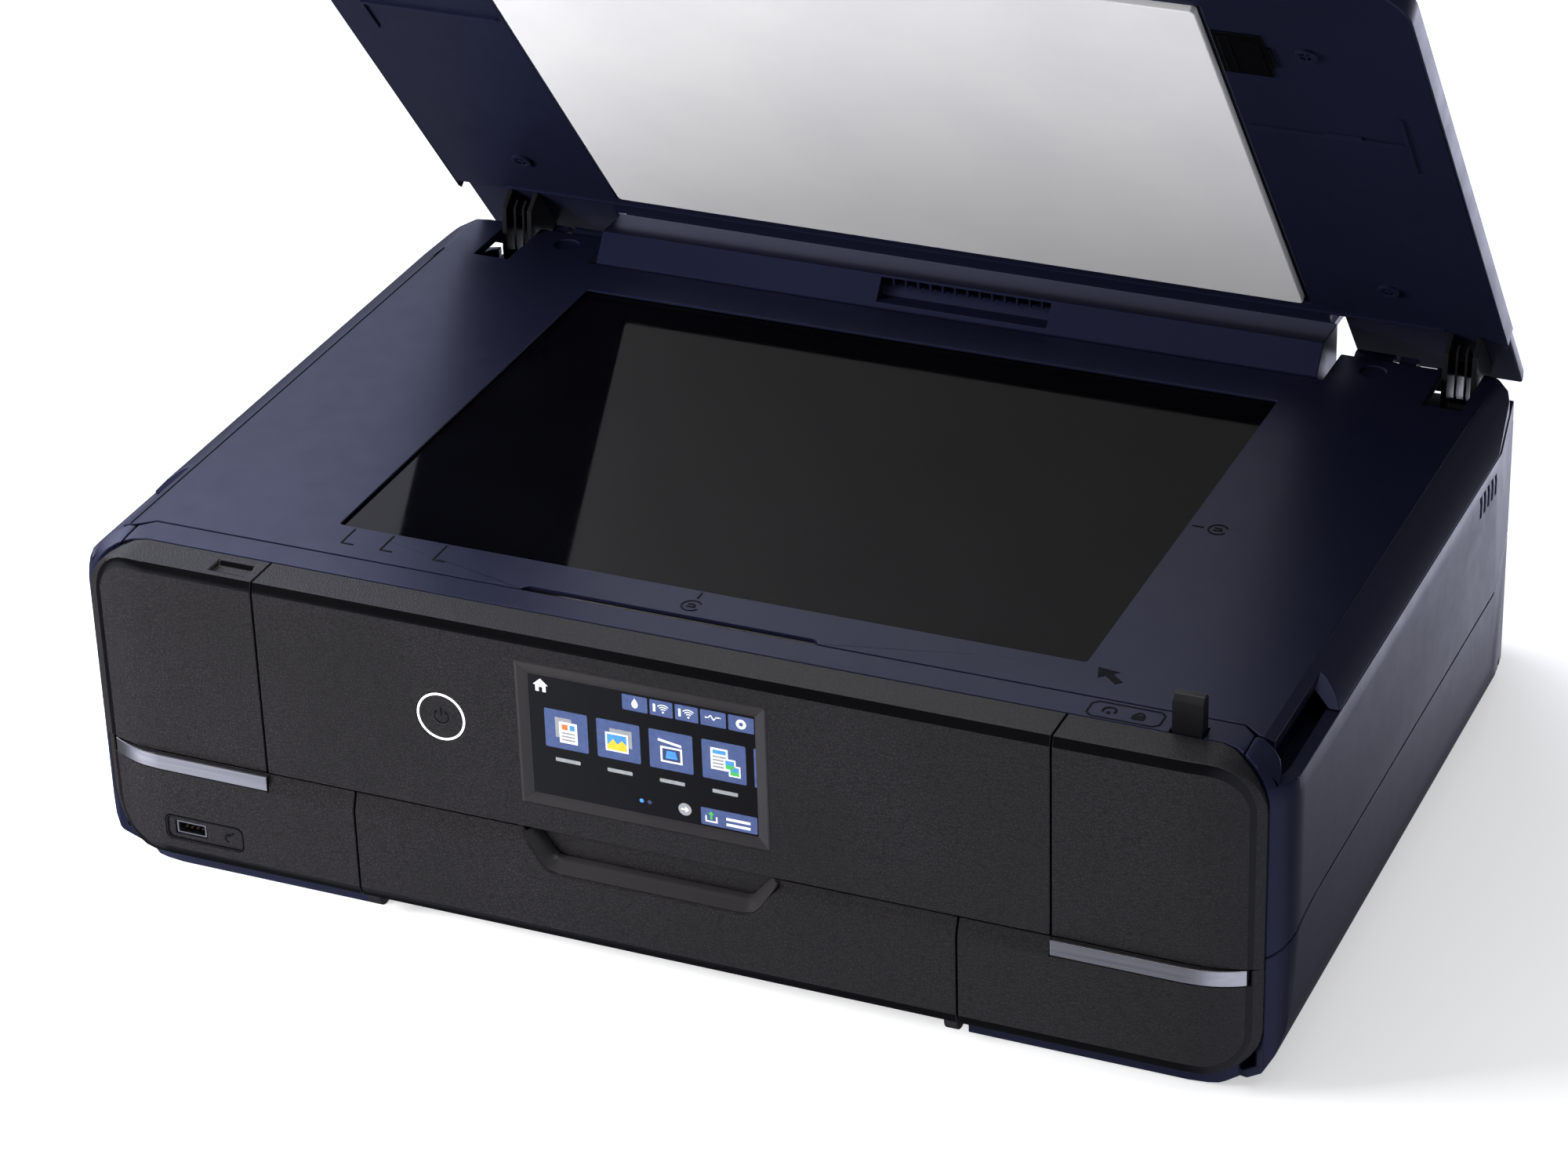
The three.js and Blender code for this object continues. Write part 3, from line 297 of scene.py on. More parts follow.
def refine(node, materials=None, pick=None, bevel=0.4, segments=3, soften=(), shape=None):
    """A copy of a CAD node with its flats merged, its edges rounded and its finish set face by face.
    soften lists (test, width in mm, segments): edges whose ends pass the test are rounded first."""
    bm = bmesh.new()
    bm.from_mesh(frame["nodes"][node].data)
    bmesh.ops.remove_doubles(bm, verts=bm.verts, dist=1e-6)
    bmesh.ops.dissolve_limit(
        bm, angle_limit=math.radians(0.5), use_dissolve_boundaries=False, verts=bm.verts, edges=bm.edges,
        delimit={"NORMAL"})
    bm.normal_update()
    if shape:
        shape(bm)
        bm.normal_update()
    for test, width, steps in soften:
        chosen = [
            edge for edge in bm.edges
            if len(edge.link_faces) == 2 and edge.calc_face_angle(0) > math.radians(35)
            and all(test(v.co / MM) for v in edge.verts)]
        bmesh.ops.bevel(bm, geom=chosen, offset=width * MM, offset_type="OFFSET", segments=steps, profile=0.5,
                        affect="EDGES", clamp_overlap=False)
        bm.normal_update()
    if pick:
        for face in bm.faces:
            face.material_index = pick(face.calc_center_median() / MM, face.normal)
    bmesh.ops.connect_verts_concave(bm, faces=bm.faces)
    slot = SLOT_OF[node]
    return finish_piece(bm, node + "_skin", materials or [FINISH[slot]], BODY_OF[node], bevel, segments, [node])


def on_front(u, v, depth):
    return Vector((u, depth, v)) * MM


def on_top(u, v, depth):
    return Vector((u, v, depth)) * MM


def round_loop(u0, u1, v0, v1, radius, steps=5):
    corners = ((u1 - radius, v1 - radius, 0), (u0 + radius, v1 - radius, 90), (u0 + radius, v0 + radius, 180),
               (u1 - radius, v0 + radius, 270))
    loop = []
    for cu, cv, start in corners:
        for i in range(steps + 1):
            turn = math.radians(start + 90 * i / steps)
            loop.append((cu + radius * math.cos(turn), cv + radius * math.sin(turn)))
    return loop


def disc_loop(cu, cv, radius, steps=28):
    turns = [2 * math.pi * i / steps for i in range(steps)]
    return [(cu + radius * math.cos(t), cv + radius * math.sin(t)) for t in turns]


def add_prism(bm, loop, low, high, plane=on_front, finish=0):
    """A flat outline drawn from one depth to another."""
    near = [bm.verts.new(plane(u, v, low)) for u, v in loop]
    far = [bm.verts.new(plane(u, v, high)) for u, v in loop]
    faces = [bm.faces.new(near), bm.faces.new(list(reversed(far)))]
    for i in range(len(loop)):
        j = (i + 1) % len(loop)
        faces.append(bm.faces.new((near[j], near[i], far[i], far[j])))
    for face in faces:
        face.material_index = finish


def add_ring(bm, cu, cv, inner, outer, low, high, plane=on_front, finish=0, start=0.0, sweep=360.0, steps=48):
    """A flat ring, or an arc of one where sweep is under a full turn."""
    closed = sweep >= 360
    count = steps if closed else steps + 1
    rows = []
    for i in range(count):
        turn = math.radians(start + sweep * i / steps)
        c, s = math.cos(turn), math.sin(turn)
        rows.append([bm.verts.new(plane(cu + r * c, cv + r * s, d)) for r, d in (
            (inner, low), (outer, low), (outer, high), (inner, high))])
    for i in range(steps):
        a, b = rows[i], rows[(i + 1) % count]
        for k in range(4):
            m = (k + 1) % 4
            bm.faces.new((a[k], a[m], b[m], b[k])).material_index = finish
    if not closed:
        bm.faces.new(rows[0]).material_index = finish
        bm.faces.new(list(reversed(rows[-1]))).material_index = finish


def add_bar(bm, start, end, width, low, high, plane=on_front, finish=0):
    """A straight stroke between two points of a plane."""
    a, b = Vector(start), Vector(end)
    side = Vector((-(b - a).y, (b - a).x)).normalized() * width / 2
    add_prism(bm, [tuple(p) for p in (a - side, b - side, b + side, a + side)], low, high, plane, finish)


# ---------------------------------------------------------------- front panels

FACE_HALF_X = 212       # centres of the front's corner arcs
FACE_LOW_Z = 29.5
FACE_HIGH_Z = 118
FACE_RADIUS = 15
BAND_X, BAND_Z = 17, 19
LEATHER_FACE, GLOSS_BAND = 0, 1


def front_finish(centre, normal):
    """Leather on the face and the rim, polished black on the bevel between them."""
    dx = max(0.0, abs(centre.x) - FACE_HALF_X)
    dz = max(0.0, centre.z - FACE_HIGH_Z, FACE_LOW_Z - centre.z)
    outside = math.hypot(dx, dz) > FACE_RADIUS - 0.2
    inside_band = (dx / BAND_X) ** 2 + (dz / BAND_Z) ** 2 < 1.0
    return GLOSS_BAND if outside and inside_band and normal.y < -0.3 else LEATHER_FACE


FRONT = [LEATHER, GLOSS]
SCREEN_LOW, SCREEN_HIGH = (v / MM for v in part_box("touch_screen"))
BUTTON_LOW, BUTTON_HIGH = (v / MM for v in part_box("power_button"))
PANEL_FACE = (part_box("control_panel")[0] / MM).y
COVER_FACE = (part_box("front_cover")[0] / MM).y
SCREEN_SPARE = 0.3      # gap round the screen
LIP = 4.2               # width of the slope round the screen


def slope_to_screen(bm):
    """Opens the front edge of the screen's opening out into a shallow slope."""
    centre = (SCREEN_LOW + SCREEN_HIGH) / 2
    half = (SCREEN_HIGH - SCREEN_LOW) / 2 + Vector((SCREEN_SPARE, 0, SCREEN_SPARE))
    for vert in bm.verts:
        x, y, z = vert.co / MM
        if y < PANEL_FACE + 0.2 and abs(x - centre.x) < half.x + 0.1 and abs(z - centre.z) < half.z + 0.1:
            vert.co.x += math.copysign(LIP * MM, x - centre.x)
            vert.co.z += math.copysign(LIP * MM, z - centre.z)


def near_scoop(p):
    return abs(p.x) < 53 and p.z > 38 and p.y < -170


def at_notch(p):
    return -179 < p.x < -163 and p.z > 134.5 and -172.2 < p.y < -162


refine("control_panel", FRONT, front_finish, 0.35, 3, shape=slope_to_screen)
refine("card_door", FRONT, front_finish, 0.35, 3, [(at_notch, 0.8, 3)])
refine("upper_front_panel_right", FRONT, front_finish, 0.35)
refine("lower_front_panel_left", FRONT, front_finish, 0.35)
refine("lower_front_panel_right", FRONT, front_finish, 0.35)
refine("front_cover", FRONT, front_finish, 0.35, 3, [(near_scoop, 1.5, 4)])
refine("power_button", bevel=0.3)
refine("touch_screen", bevel=0.2)


def add_screen_lip():
    """The smooth slope between the panel's face and the glass."""
    bm = bmesh.new()
    out = SCREEN_SPARE + LIP
    outer = round_loop(SCREEN_LOW.x - out, SCREEN_HIGH.x + out, SCREEN_LOW.z - out, SCREEN_HIGH.z + out, 0.5)
    inner = round_loop(SCREEN_LOW.x + 0.5, SCREEN_HIGH.x - 0.5, SCREEN_LOW.z + 0.5, SCREEN_HIGH.z - 0.5, 0.5)
    sections = [(outer, PANEL_FACE + 0.02, 0.0), (outer, PANEL_FACE + 0.14, 0.22), (outer, PANEL_FACE + 0.55, 0.62),
                (outer, SCREEN_LOW.y - 0.12, 1.0), (outer, SCREEN_LOW.y + 0.5, 1.0), (outer, SCREEN_LOW.y + 0.5, 0.1)]
    rings = []
    for loop, depth, share in sections:
        rings.append([bm.verts.new(on_front(a[0] + share * (b[0] - a[0]), a[1] + share * (b[1] - a[1]), depth))
                      for a, b in zip(loop, inner)])
    count = len(outer)
    for k, ring in enumerate(rings):
        following = rings[(k + 1) % len(rings)]
        for i in range(count):
            j = (i + 1) % count
            bm.faces.new((ring[i], ring[j], following[j], following[i]))
    finish_piece(bm, "screen_lip", [SATIN], "control_panel")


SCOOP = [(-51.4, 54), (-44.6, 43.2), (-41.4, 40), (-37, 38.9), (37, 38.9), (41.4, 40), (44.6, 43.2), (51.4, 54)]
SCOOP_RIM = 4.6         # width of the rounded rim inside the finger scoop


def add_scoop_rim():
    """The rounded, smoother rim that leads into the finger scoop of the front cover."""
    low, high = (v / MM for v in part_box("front_cover"))
    middle = Vector((0, 54))
    sections = ((0.15, 0.35), (0.45, 0.75), (1.3, 1.5), (2.6, 3.0), (SCOOP_RIM - 0.6, 4.6), (SCOOP_RIM, 6.8))
    bm = bmesh.new()
    rings = []
    for inward, depth in sections:
        ring = []
        for i, (x, z) in enumerate(SCOOP):
            before = Vector(SCOOP[max(i - 1, 0)])
            after = Vector(SCOOP[min(i + 1, len(SCOOP) - 1)])
            along = (after - before).normalized()
            point = Vector((x, z)) + Vector((-along.y, along.x)) * inward
            if i in (0, len(SCOOP) - 1):
                point.y = middle.y
            ring.append(bm.verts.new(on_front(point.x, point.y, COVER_FACE + depth)))
        rings.append(ring)
    back = [bm.verts.new(on_front(x, z, COVER_FACE + 7.2)) for x, z in SCOOP]
    for ring, following in zip(rings + [back], rings[1:] + [back, rings[0]]):
        for i in range(len(SCOOP) - 1):
            bm.faces.new((ring[i], ring[i + 1], following[i + 1], following[i]))
    for end in (0, -1):
        bm.faces.new([ring[end] for ring in rings + [back]])
    finish_piece(bm, "scoop_rim", [SATIN], "front_cover", 0.1, 2)


add_screen_lip()
add_scoop_rim()

# ---------------------------------------------------------------- what the touch screen shows

SCREEN_FINISH = [TILE, TILE_DIM, PAPER_LIT, GREY_LIT, BLUE_LIT, ORANGE_LIT, YELLOW_LIT, GREEN_LIT]
TILE_INK, DIM_INK, WHITE_INK, GREY_INK, BLUE_INK, ORANGE_INK, YELLOW_INK, GREEN_INK = range(8)
LAYER = 0.05            # each layer of the picture lies this much in front of the last
SCREEN_WIDE = SCREEN_HIGH.x - SCREEN_LOW.x
SCREEN_TALL = SCREEN_HIGH.z - SCREEN_LOW.z


def add_patch(bm, loop, ink, layer):
    front = SCREEN_LOW.y - 0.02
    add_prism(bm, loop, front, front - layer * LAYER, on_front, ink)


def at_screen(u, v):
    """A point of the screen from its top left corner, in shares of its width and height."""
    return SCREEN_LOW.x + u * SCREEN_WIDE, SCREEN_HIGH.z - v * SCREEN_TALL


def screen_box(u0, u1, v0, v1, radius=0.6):
    x0, z1 = at_screen(u0, v0)
    x1, z0 = at_screen(u1, v1)
    return round_loop(x0, x1, z0, z1, radius, 3)


def tile_shape(x, z, points):
    """Points in millimetres from a tile's centre."""
    return [(x + a, z + b) for a, b in points]


def add_rect(bm, x, z, box, ink, layer):
    a0, a1, b0, b1 = box
    add_patch(bm, tile_shape(x, z, [(a0, b0), (a1, b0), (a1, b1), (a0, b1)]), ink, layer)


def add_sheets(bm, x, z):
    add_rect(bm, x, z, (-4.4, 2.2, -3.2, 5.2), GREY_INK, 2)
    add_rect(bm, x, z, (-2.8, 4.4, -5.2, 3.6), WHITE_INK, 3)
    add_rect(bm, x, z, (-1.8, 0.6, 0.4, 2.6), ORANGE_INK, 4)
    add_rect(bm, x, z, (1.4, 3.4, 0.4, 2.6), BLUE_INK, 4)
    for row in (-1.0, -2.4, -3.8):
        add_rect(bm, x, z, (-1.8, 3.4, row - 0.35, row + 0.35), GREY_INK, 4)


def add_pictures(bm, x, z):
    add_rect(bm, x, z, (-3.4, 5.4, -2.2, 5.0), GREY_INK, 2)
    add_rect(bm, x, z, (-5.2, 3.9, -4.6, 3.2), WHITE_INK, 3)
    add_rect(bm, x, z, (-4.5, 3.2, -3.9, 2.5), BLUE_INK, 4)
    hills = [(-4.5, -3.9), (3.2, -3.9), (3.2, -1.2), (1.4, 0.4), (-0.4, -1.4), (-2.0, 0.6), (-4.5, -2.2)]
    add_patch(bm, tile_shape(x, z, hills), YELLOW_INK, 5)


def add_scanner(bm, x, z):
    add_patch(bm, tile_shape(x, z, [(-5.0, 4.8), (4.2, 3.4), (4.2, 2.4), (-5.0, 3.8)]), WHITE_INK, 2)
    add_rect(bm, x, z, (-4.2, 4.4, -4.8, 1.8), WHITE_INK, 2)
    add_rect(bm, x, z, (-3.4, 3.6, -4.0, 1.0), DIM_INK, 3)
    add_patch(bm, tile_shape(x, z, [(-2.2, -3.0), (2.6, -3.0), (1.8, 0.2), (-1.6, 0.2)]), BLUE_INK, 4)


def add_lists(bm, x, z):
    add_rect(bm, x, z, (-5.2, 1.6, -3.6, 5.4), WHITE_INK, 2)
    add_rect(bm, x, z, (-4.4, 0.8, 3.0, 4.6), BLUE_INK, 3)
    for row in (1.8, 0.4, -1.0, -2.4):
        add_rect(bm, x, z, (-4.4, 0.8, row - 0.35, row + 0.35), GREY_INK, 3)
    for a, b in ((0.4, -0.6), (2.2, -3.0)):
        add_rect(bm, x, z, (a - 0.4, a + 4.2, b - 2.4, b + 2.2), WHITE_INK, 4)
        add_rect(bm, x, z, (a + 0.2, a + 3.6, b - 1.8, b + 1.6), BLUE_INK, 5)
        add_rect(bm, x, z, (a + 0.2, a + 3.6, b - 1.8, b - 0.2), GREEN_INK, 6)


def add_fan(bm, x, z, ink, layer):
    """Three arcs over a dot: a wireless mark."""
    front = SCREEN_LOW.y - 0.02
    for radius in (1.0, 1.9, 2.8):
        add_ring(bm, x, z, radius, radius + 0.42, front, front - layer * LAYER, on_front, ink, 45, 90, 8)
    add_patch(bm, disc_loop(x, z, 0.45, 10), ink, layer)


def add_screen_picture():
    bm = bmesh.new()
    x, z = at_screen(0.06, 0.095)
    roof = [(-3.0, 0.2), (0, 2.9), (3.0, 0.2), (2.1, 0.2), (2.1, -2.5), (0.7, -2.5), (0.7, -0.6), (-0.7, -0.6),
            (-0.7, -2.5), (-2.1, -2.5), (-2.1, 0.2)]
    add_patch(bm, tile_shape(x, z, roof), WHITE_INK, 1)

    status = ((0.42, 0.53), (0.54, 0.64), (0.65, 0.75), (0.76, 0.87), (0.88, 0.99))
    for u0, u1 in status:
        add_patch(bm, screen_box(u0, u1, 0.03, 0.155, 0.4), TILE_INK, 1)
    middles = [at_screen((u0 + u1) / 2, 0.093) for u0, u1 in status]
    x, z = middles[0]
    add_patch(bm, tile_shape(x, z, [(0, 2.2), (1.1, 0.4), (1.3, -0.6), (0.8, -1.6), (0, -2.0), (-0.8, -1.6), (-1.3, -0.6),
                                    (-1.1, 0.4)]), WHITE_INK, 2)
    for x, z in middles[1:3]:
        add_fan(bm, x + 0.8, z - 1.4, WHITE_INK, 2)
        add_rect(bm, x, z, (-3.2, -2.2, -1.6, 1.6), WHITE_INK, 2)
    x, z = middles[3]
    zigzag = [(-3.2, 0.2), (-1.8, 0.2), (-1.0, 1.4), (0.2, -0.6), (1.2, 0.8), (3.2, 0.8)]
    for (a0, b0), (a1, b1) in zip(zigzag, zigzag[1:]):
        add_bar(bm, (x + a0, z + b0), (x + a1, z + b1), 0.45, SCREEN_LOW.y, SCREEN_LOW.y - 2.2 * LAYER, on_front, WHITE_INK)
    x, z = middles[4]
    add_patch(bm, disc_loop(x, z, 2.0, 20), WHITE_INK, 2)
    add_patch(bm, disc_loop(x, z, 0.8, 12), TILE_INK, 3)

    tiles = ((0.07, 0.26, add_sheets), (0.30, 0.49, add_pictures), (0.53, 0.72, add_scanner), (0.76, 0.95, add_lists))
    for u0, u1, add_icon in tiles:
        add_patch(bm, screen_box(u0, u1, 0.27, 0.585), TILE_INK, 1)
        add_icon(bm, *at_screen((u0 + u1) / 2, 0.43))
        middle = (u0 + u1) / 2
        add_patch(bm, screen_box(middle - 0.055, middle + 0.055, 0.665, 0.695, 0.3), GREY_INK, 1)
    add_patch(bm, screen_box(0.985, 0.999, 0.27, 0.585, 0.3), TILE_INK, 1)

    for u, ink in ((0.485, BLUE_INK), (0.52, DIM_INK)):
        add_patch(bm, disc_loop(*at_screen(u, 0.885), 0.85, 14), ink, 1)
    x, z = at_screen(0.675, 0.885)
    add_patch(bm, disc_loop(x, z, 2.6, 24), GREY_INK, 1)
    add_patch(bm, tile_shape(x, z, [(-1.5, -0.3), (0.2, -0.3), (0.2, -1.3), (1.6, 0), (0.2, 1.3), (0.2, 0.3), (-1.5, 0.3)]),
              WHITE_INK, 2)
    add_patch(bm, screen_box(0.745, 0.99, 0.835, 0.975, 0.5), TILE_INK, 1)
    x, z = at_screen(0.79, 0.905)
    tray = [(-2.4, 0.4), (-2.4, -2.2), (2.4, -2.2), (2.4, 0.4), (1.8, 0.4), (1.8, -1.6), (-1.8, -1.6), (-1.8, 0.4)]
    add_patch(bm, tile_shape(x, z, tray), WHITE_INK, 2)
    add_patch(bm, tile_shape(x, z, [(-0.4, -1.0), (0.4, -1.0), (0.4, 1.0), (1.2, 1.0), (0, 2.4), (-1.2, 1.0), (-0.4, 1.0)]),
              GREEN_INK, 2)
    for v in (0.885, 0.93):
        add_patch(bm, screen_box(0.855, 0.96, v, v + 0.022, 0.2), WHITE_INK, 2)
    finish_piece(bm, "screen_picture", SCREEN_FINISH, "control_panel")


add_screen_picture()

# ---------------------------------------------------------------- power button, socket plate and marks

RING_INNER, RING_OUTER = 9.05, 9.85


def add_button_marks():
    x = (BUTTON_LOW.x + BUTTON_HIGH.x) / 2
    z = (BUTTON_LOW.z + BUTTON_HIGH.z) / 2
    face = BUTTON_LOW.y
    bm = bmesh.new()
    add_ring(bm, x, z, RING_INNER, RING_OUTER, face + 0.3, face - 0.18)
    finish_piece(bm, "button_ring", [RING_LIT], "power_button", 0.08, 2)
    bm = bmesh.new()
    add_ring(bm, x, z, 2.5, 3.2, face + 0.1, face - 0.1, on_front, 0, 125, 290, 32)
    add_bar(bm, (x, z + 0.4), (x, z + 3.9), 0.7, face + 0.1, face - 0.1)
    finish_piece(bm, "button_mark", [GLOSS], "power_button")


USB_LOW, USB_HIGH = (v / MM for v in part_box("usb_socket"))
USB_PLATE = (-205, -171, 18, 29)
USB_PLATE_Y = -177.3


def add_socket_plate():
    """The rounded plate round the memory-stick socket, its raised edge and a small device mark."""
    x0, x1, z0, z1 = USB_PLATE
    bm = bmesh.new()
    for grow, low, high in ((0.0, USB_PLATE_Y + 0.1, USB_PLATE_Y - 0.5),):
        outer = round_loop(x0 + 0.2 - grow, x1 - 0.2 + grow, z0 + 0.2 - grow, z1 - 0.2 + grow, 2.8)
        inner = round_loop(x0 + 1.0, x1 - 1.0, z0 + 1.0, z1 - 1.0, 2.1)
        rings = [[bm.verts.new(on_front(u, v, depth)) for u, v in loop]
                 for loop, depth in ((outer, low), (outer, high), (inner, high), (inner, low))]
        for k in range(4):
            for i in range(len(outer)):
                j = (i + 1) % len(outer)
                a, b = rings[k], rings[(k + 1) % 4]
                bm.faces.new((a[i], a[j], b[j], b[i]))
    centre_z = (USB_LOW.z + USB_HIGH.z) / 2
    add_ring(bm, x1 - 6.5, centre_z - 0.6, 1.4, 2.1, USB_PLATE_Y + 0.1, USB_PLATE_Y - 0.2, on_front, 0, 60, 200, 18)
    add_bar(bm, (x1 - 7.2, centre_z + 0.4), (x1 - 4.4, centre_z + 2.2), 0.8, USB_PLATE_Y + 0.1, USB_PLATE_Y - 0.2)
    finish_piece(bm, "socket_plate_edge", [GLOSS], "housing", 0.15, 2)
    bm = bmesh.new()
    for i in range(4):
        x = USB_LOW.x + 2.6 + i * 2.4
        add_prism(bm, [(x, centre_z - 0.9), (x + 1.1, centre_z - 0.9), (x + 1.1, centre_z - 0.2), (x, centre_z - 0.2)],
                  USB_LOW.y + 5.0, USB_LOW.y + 1.5)
    finish_piece(bm, "socket_contacts", [COPPER], "housing")


add_button_marks()
add_socket_plate()

# ---------------------------------------------------------------- the other CAD nodes

ROUNDING = {
    "side_cover_left": 0.5, "side_cover_right": 0.5, "base_side_left": 0.5, "base_side_right": 0.5,
    "front_strip": 0.4, "scanner_deck": 0.35, "document_lid": 0.8, "rear_feed_hump": 0.4, "rear_feed_cover": 0.5,
    "duplex_unit": 0.8, "lid_mat": 0.5, "ledge_trim_left": 0.25, "ledge_trim_right": 0.25, "scanner_glass": 0.1,
    "lid_interlock_pin": 0.5, "usb_socket": 0.12, "timing_belt": 0.0,
}
MADE = {"control_panel", "card_door", "upper_front_panel_right", "lower_front_panel_left", "lower_front_panel_right",
        "front_cover", "power_button", "touch_screen"}
for node in sorted(frame["nodes"]):
    if node not in MADE:
        refine(node, bevel=ROUNDING.get(node, 0.3), segments=2)

# ---------------------------------------------------------------- marks on the deck

DECK_TOP = (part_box("front_strip")[1] / MM).z
GLASS_LOW, GLASS_HIGH = (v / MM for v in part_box("scanner_glass"))
APERTURE = {"left": -149.6, "right": 149.6, "front": -122.4, "back": 96.3}
PIN_LOW, PIN_HIGH = (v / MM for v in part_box("lid_interlock_pin"))
RAISED = 0.14


def deck_line(bm, start, end, width=0.8):
    add_bar(bm, start, end, width, DECK_TOP - 0.1, DECK_TOP + RAISED, on_top)


def add_corner_sign(bm, x, y):
    """A ring with a small sheet in it, the sign for the way an original lies."""
    add_ring(bm, x, y, 3.3, 4.0, DECK_TOP - 0.1, DECK_TOP + RAISED, on_top, 0, 30, 300, 30)
    deck_line(bm, (x - 1.6, y - 0.8), (x + 1.6, y - 0.8))
    deck_line(bm, (x - 1.6, y + 1.0), (x + 1.0, y + 1.0))
    deck_line(bm, (x + 1.6, y - 0.8), (x + 1.0, y + 1.0))


def add_deck_marks():
    bm = bmesh.new()
    for x in (-142.0, -125.7, -103.6):
        deck_line(bm, (x, APERTURE["front"] - 1.6), (x, APERTURE["front"] - 13))
        deck_line(bm, (x, APERTURE["front"] - 13), (x + 5, APERTURE["front"] - 13))
    deck_line(bm, (1, APERTURE["front"] - 1.6), (1, APERTURE["front"] - 6))
    add_corner_sign(bm, 1, APERTURE["front"] - 11.5)
    deck_line(bm, (APERTURE["right"] + 2, -13), (APERTURE["right"] + 6.5, -13))
    add_corner_sign(bm, APERTURE["right"] + 12, -13)
    x, y = APERTURE["right"] + 11, APERTURE["front"] - 6.5
    add_prism(bm, [(x - 6, y + 4.5), (x + 2.6, y + 3.4), (x + 0.4, y + 1.6), (x + 5.6, y - 2.8), (x + 3.6, y - 4.8),
                   (x - 1.6, y - 0.4), (x - 3.8, y - 2.6)],
              DECK_TOP - 0.1, DECK_TOP + RAISED, on_top)
    finish_piece(bm, "deck_marks", [MARK], "scanner_unit")

    bm = bmesh.new()
    add_prism(bm, round_loop(-62.6, 54.6, -149, -141.4, 3.2), DECK_TOP - 1.5, DECK_TOP - 0.9, on_top)
    finish_piece(bm, "finger_scoop_floor", [GLOSS], "scanner_unit", 0.2, 2)


def add_pin_sign():
    """Beside the lid's pin: a raised frame with a lid and a lock in it."""
    top = DECK_TOP
    x0, x1 = PIN_LOW.x - 32, PIN_LOW.x - 5
    y0, y1 = PIN_LOW.y + 0.4, PIN_HIGH.y + 4.4
    bm = bmesh.new()
    corners = [(x0 + 2, y0), (x1 - 2, y0), (x1, y0 + 2), (x1, y1 - 2), (x1 - 2, y1), (x0 + 2, y1), (x0, y1 - 2), (x0, y0 + 2)]
    for a, b in zip(corners, corners[1:] + corners[:1]):
        add_bar(bm, a, b, 0.7, top - 0.1, top + RAISED, on_top)
    middle = (y0 + y1) / 2
    add_ring(bm, x0 + 7.5, middle, 1.9, 2.8, top - 0.1, top + RAISED, on_top, 0, -30, 240, 20)
    add_prism(bm, disc_loop(x0 + 7.5, middle - 1.4, 0.9, 12), top - 0.1, top + RAISED, on_top)
    add_prism(bm, round_loop(x1 - 11, x1 - 6, middle - 2.6, middle + 0.6, 0.5, 2), top - 0.1, top + RAISED, on_top)
    add_ring(bm, x1 - 8.5, middle + 0.6, 1.1, 1.8, top - 0.1, top + RAISED, on_top, 0, 0, 180, 12)
    finish_piece(bm, "pin_sign", [MARK], "housing")


add_deck_marks()
add_pin_sign()

# ---------------------------------------------------------------- inside of the document lid

LID_JOINT = JOINT["lid_hinge"]
LID_AXIS_AT = Vector(LID_JOINT["pos_m"])
LID_OPEN = math.radians(-LID_JOINT["range_deg"][1])
LID_PLACE = Matrix.Translation(LID_AXIS_AT) @ Matrix.Rotation(LID_OPEN, 4, "X") @ Matrix.Translation(-LID_AXIS_AT)
LID_FACE = 139.0        # the lid's inner face, with the lid shut
LID_EDGE = 229.5
LID_PROUD = 1.4         # how far its details stand out; the shut lid clears the deck by 2 mm


def lid_block(bm, x0, x1, y0, y1, proud=LID_PROUD, finish=0):
    add_prism(bm, [(x0, y0), (x1, y0), (x1, y1), (x0, y1)], LID_FACE + 0.2, LID_FACE - proud, on_top, finish)


def add_lid_details():
    bm = bmesh.new()
    for x, y in ((186, -103.5), (187, 79.5), (-186, -103.5), (-187, 79.5)):
        add_ring(bm, x, y, 2.6, 4.4, LID_FACE + 0.2, LID_FACE - LID_PROUD, on_top)
        lid_block(bm, x - 2.8, x + 2.8, y - 0.5, y + 0.5, LID_PROUD - 0.3)
        lid_block(bm, x - 0.5, x + 0.5, y - 2.8, y + 2.8, LID_PROUD - 0.3)
    for side in (-1, 1):
        near, far = sorted((side * 154, side * 214))
        lid_block(bm, near, far, -45.4, -43.8)
        lid_block(bm, side * 214 - 0.8, side * 214 + 0.8, -64, -24, 0.9)
    lid_block(bm, 183, 197, -46.6, -42.8, 1.0)
    lid_block(bm, -205, 205, 107.4, 108.6, 0.8)
    lid_block(bm, -205, PIN_LOW.x - 4, -152.6, -151.4, 0.8)
    finish_piece(bm, "lid_ribs", [NAVY], "lid", 0.2, 2, place=LID_PLACE)

    bm = bmesh.new()
    lid_block(bm, 152, 171, -113, -84, 0.7)
    lid_block(bm, 154, 158, -111, -86, 1.3)
    lid_block(bm, 160.5, 169, -108, -99, 1.4)
    lid_block(bm, 160.5, 169, -96, -88, 1.1)
    lid_block(bm, 171, 173, -105, -92, 1.3)
    finish_piece(bm, "lid_latch", [GLOSS], "lid", 0.25, 2, place=LID_PLACE)


def add_hinge_ribs():
    """Thin extra ribs between the cheeks of each lid hinge."""
    for node in ("lid_hinge_left", "lid_hinge_right"):
        low, high = (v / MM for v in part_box(node))
        bm = bmesh.new()
        for share in (0.36, 0.64):
            x = low.x + share * (high.x - low.x)
            loop = [(121, 139.5), (121, 135.5), (134, 123.5), (141, 121.5), (146, 126), (146, 139.5)]
            add_prism(bm, loop, x - 0.5, x + 0.5, lambda u, v, depth: Vector((depth, u, v)) * MM)
        finish_piece(bm, node + "_ribs", [DARK], "lid", 0.15, 2, place=LID_PLACE)


add_lid_details()
add_hinge_ribs()

# ---------------------------------------------------------------- inside the printer and on its back

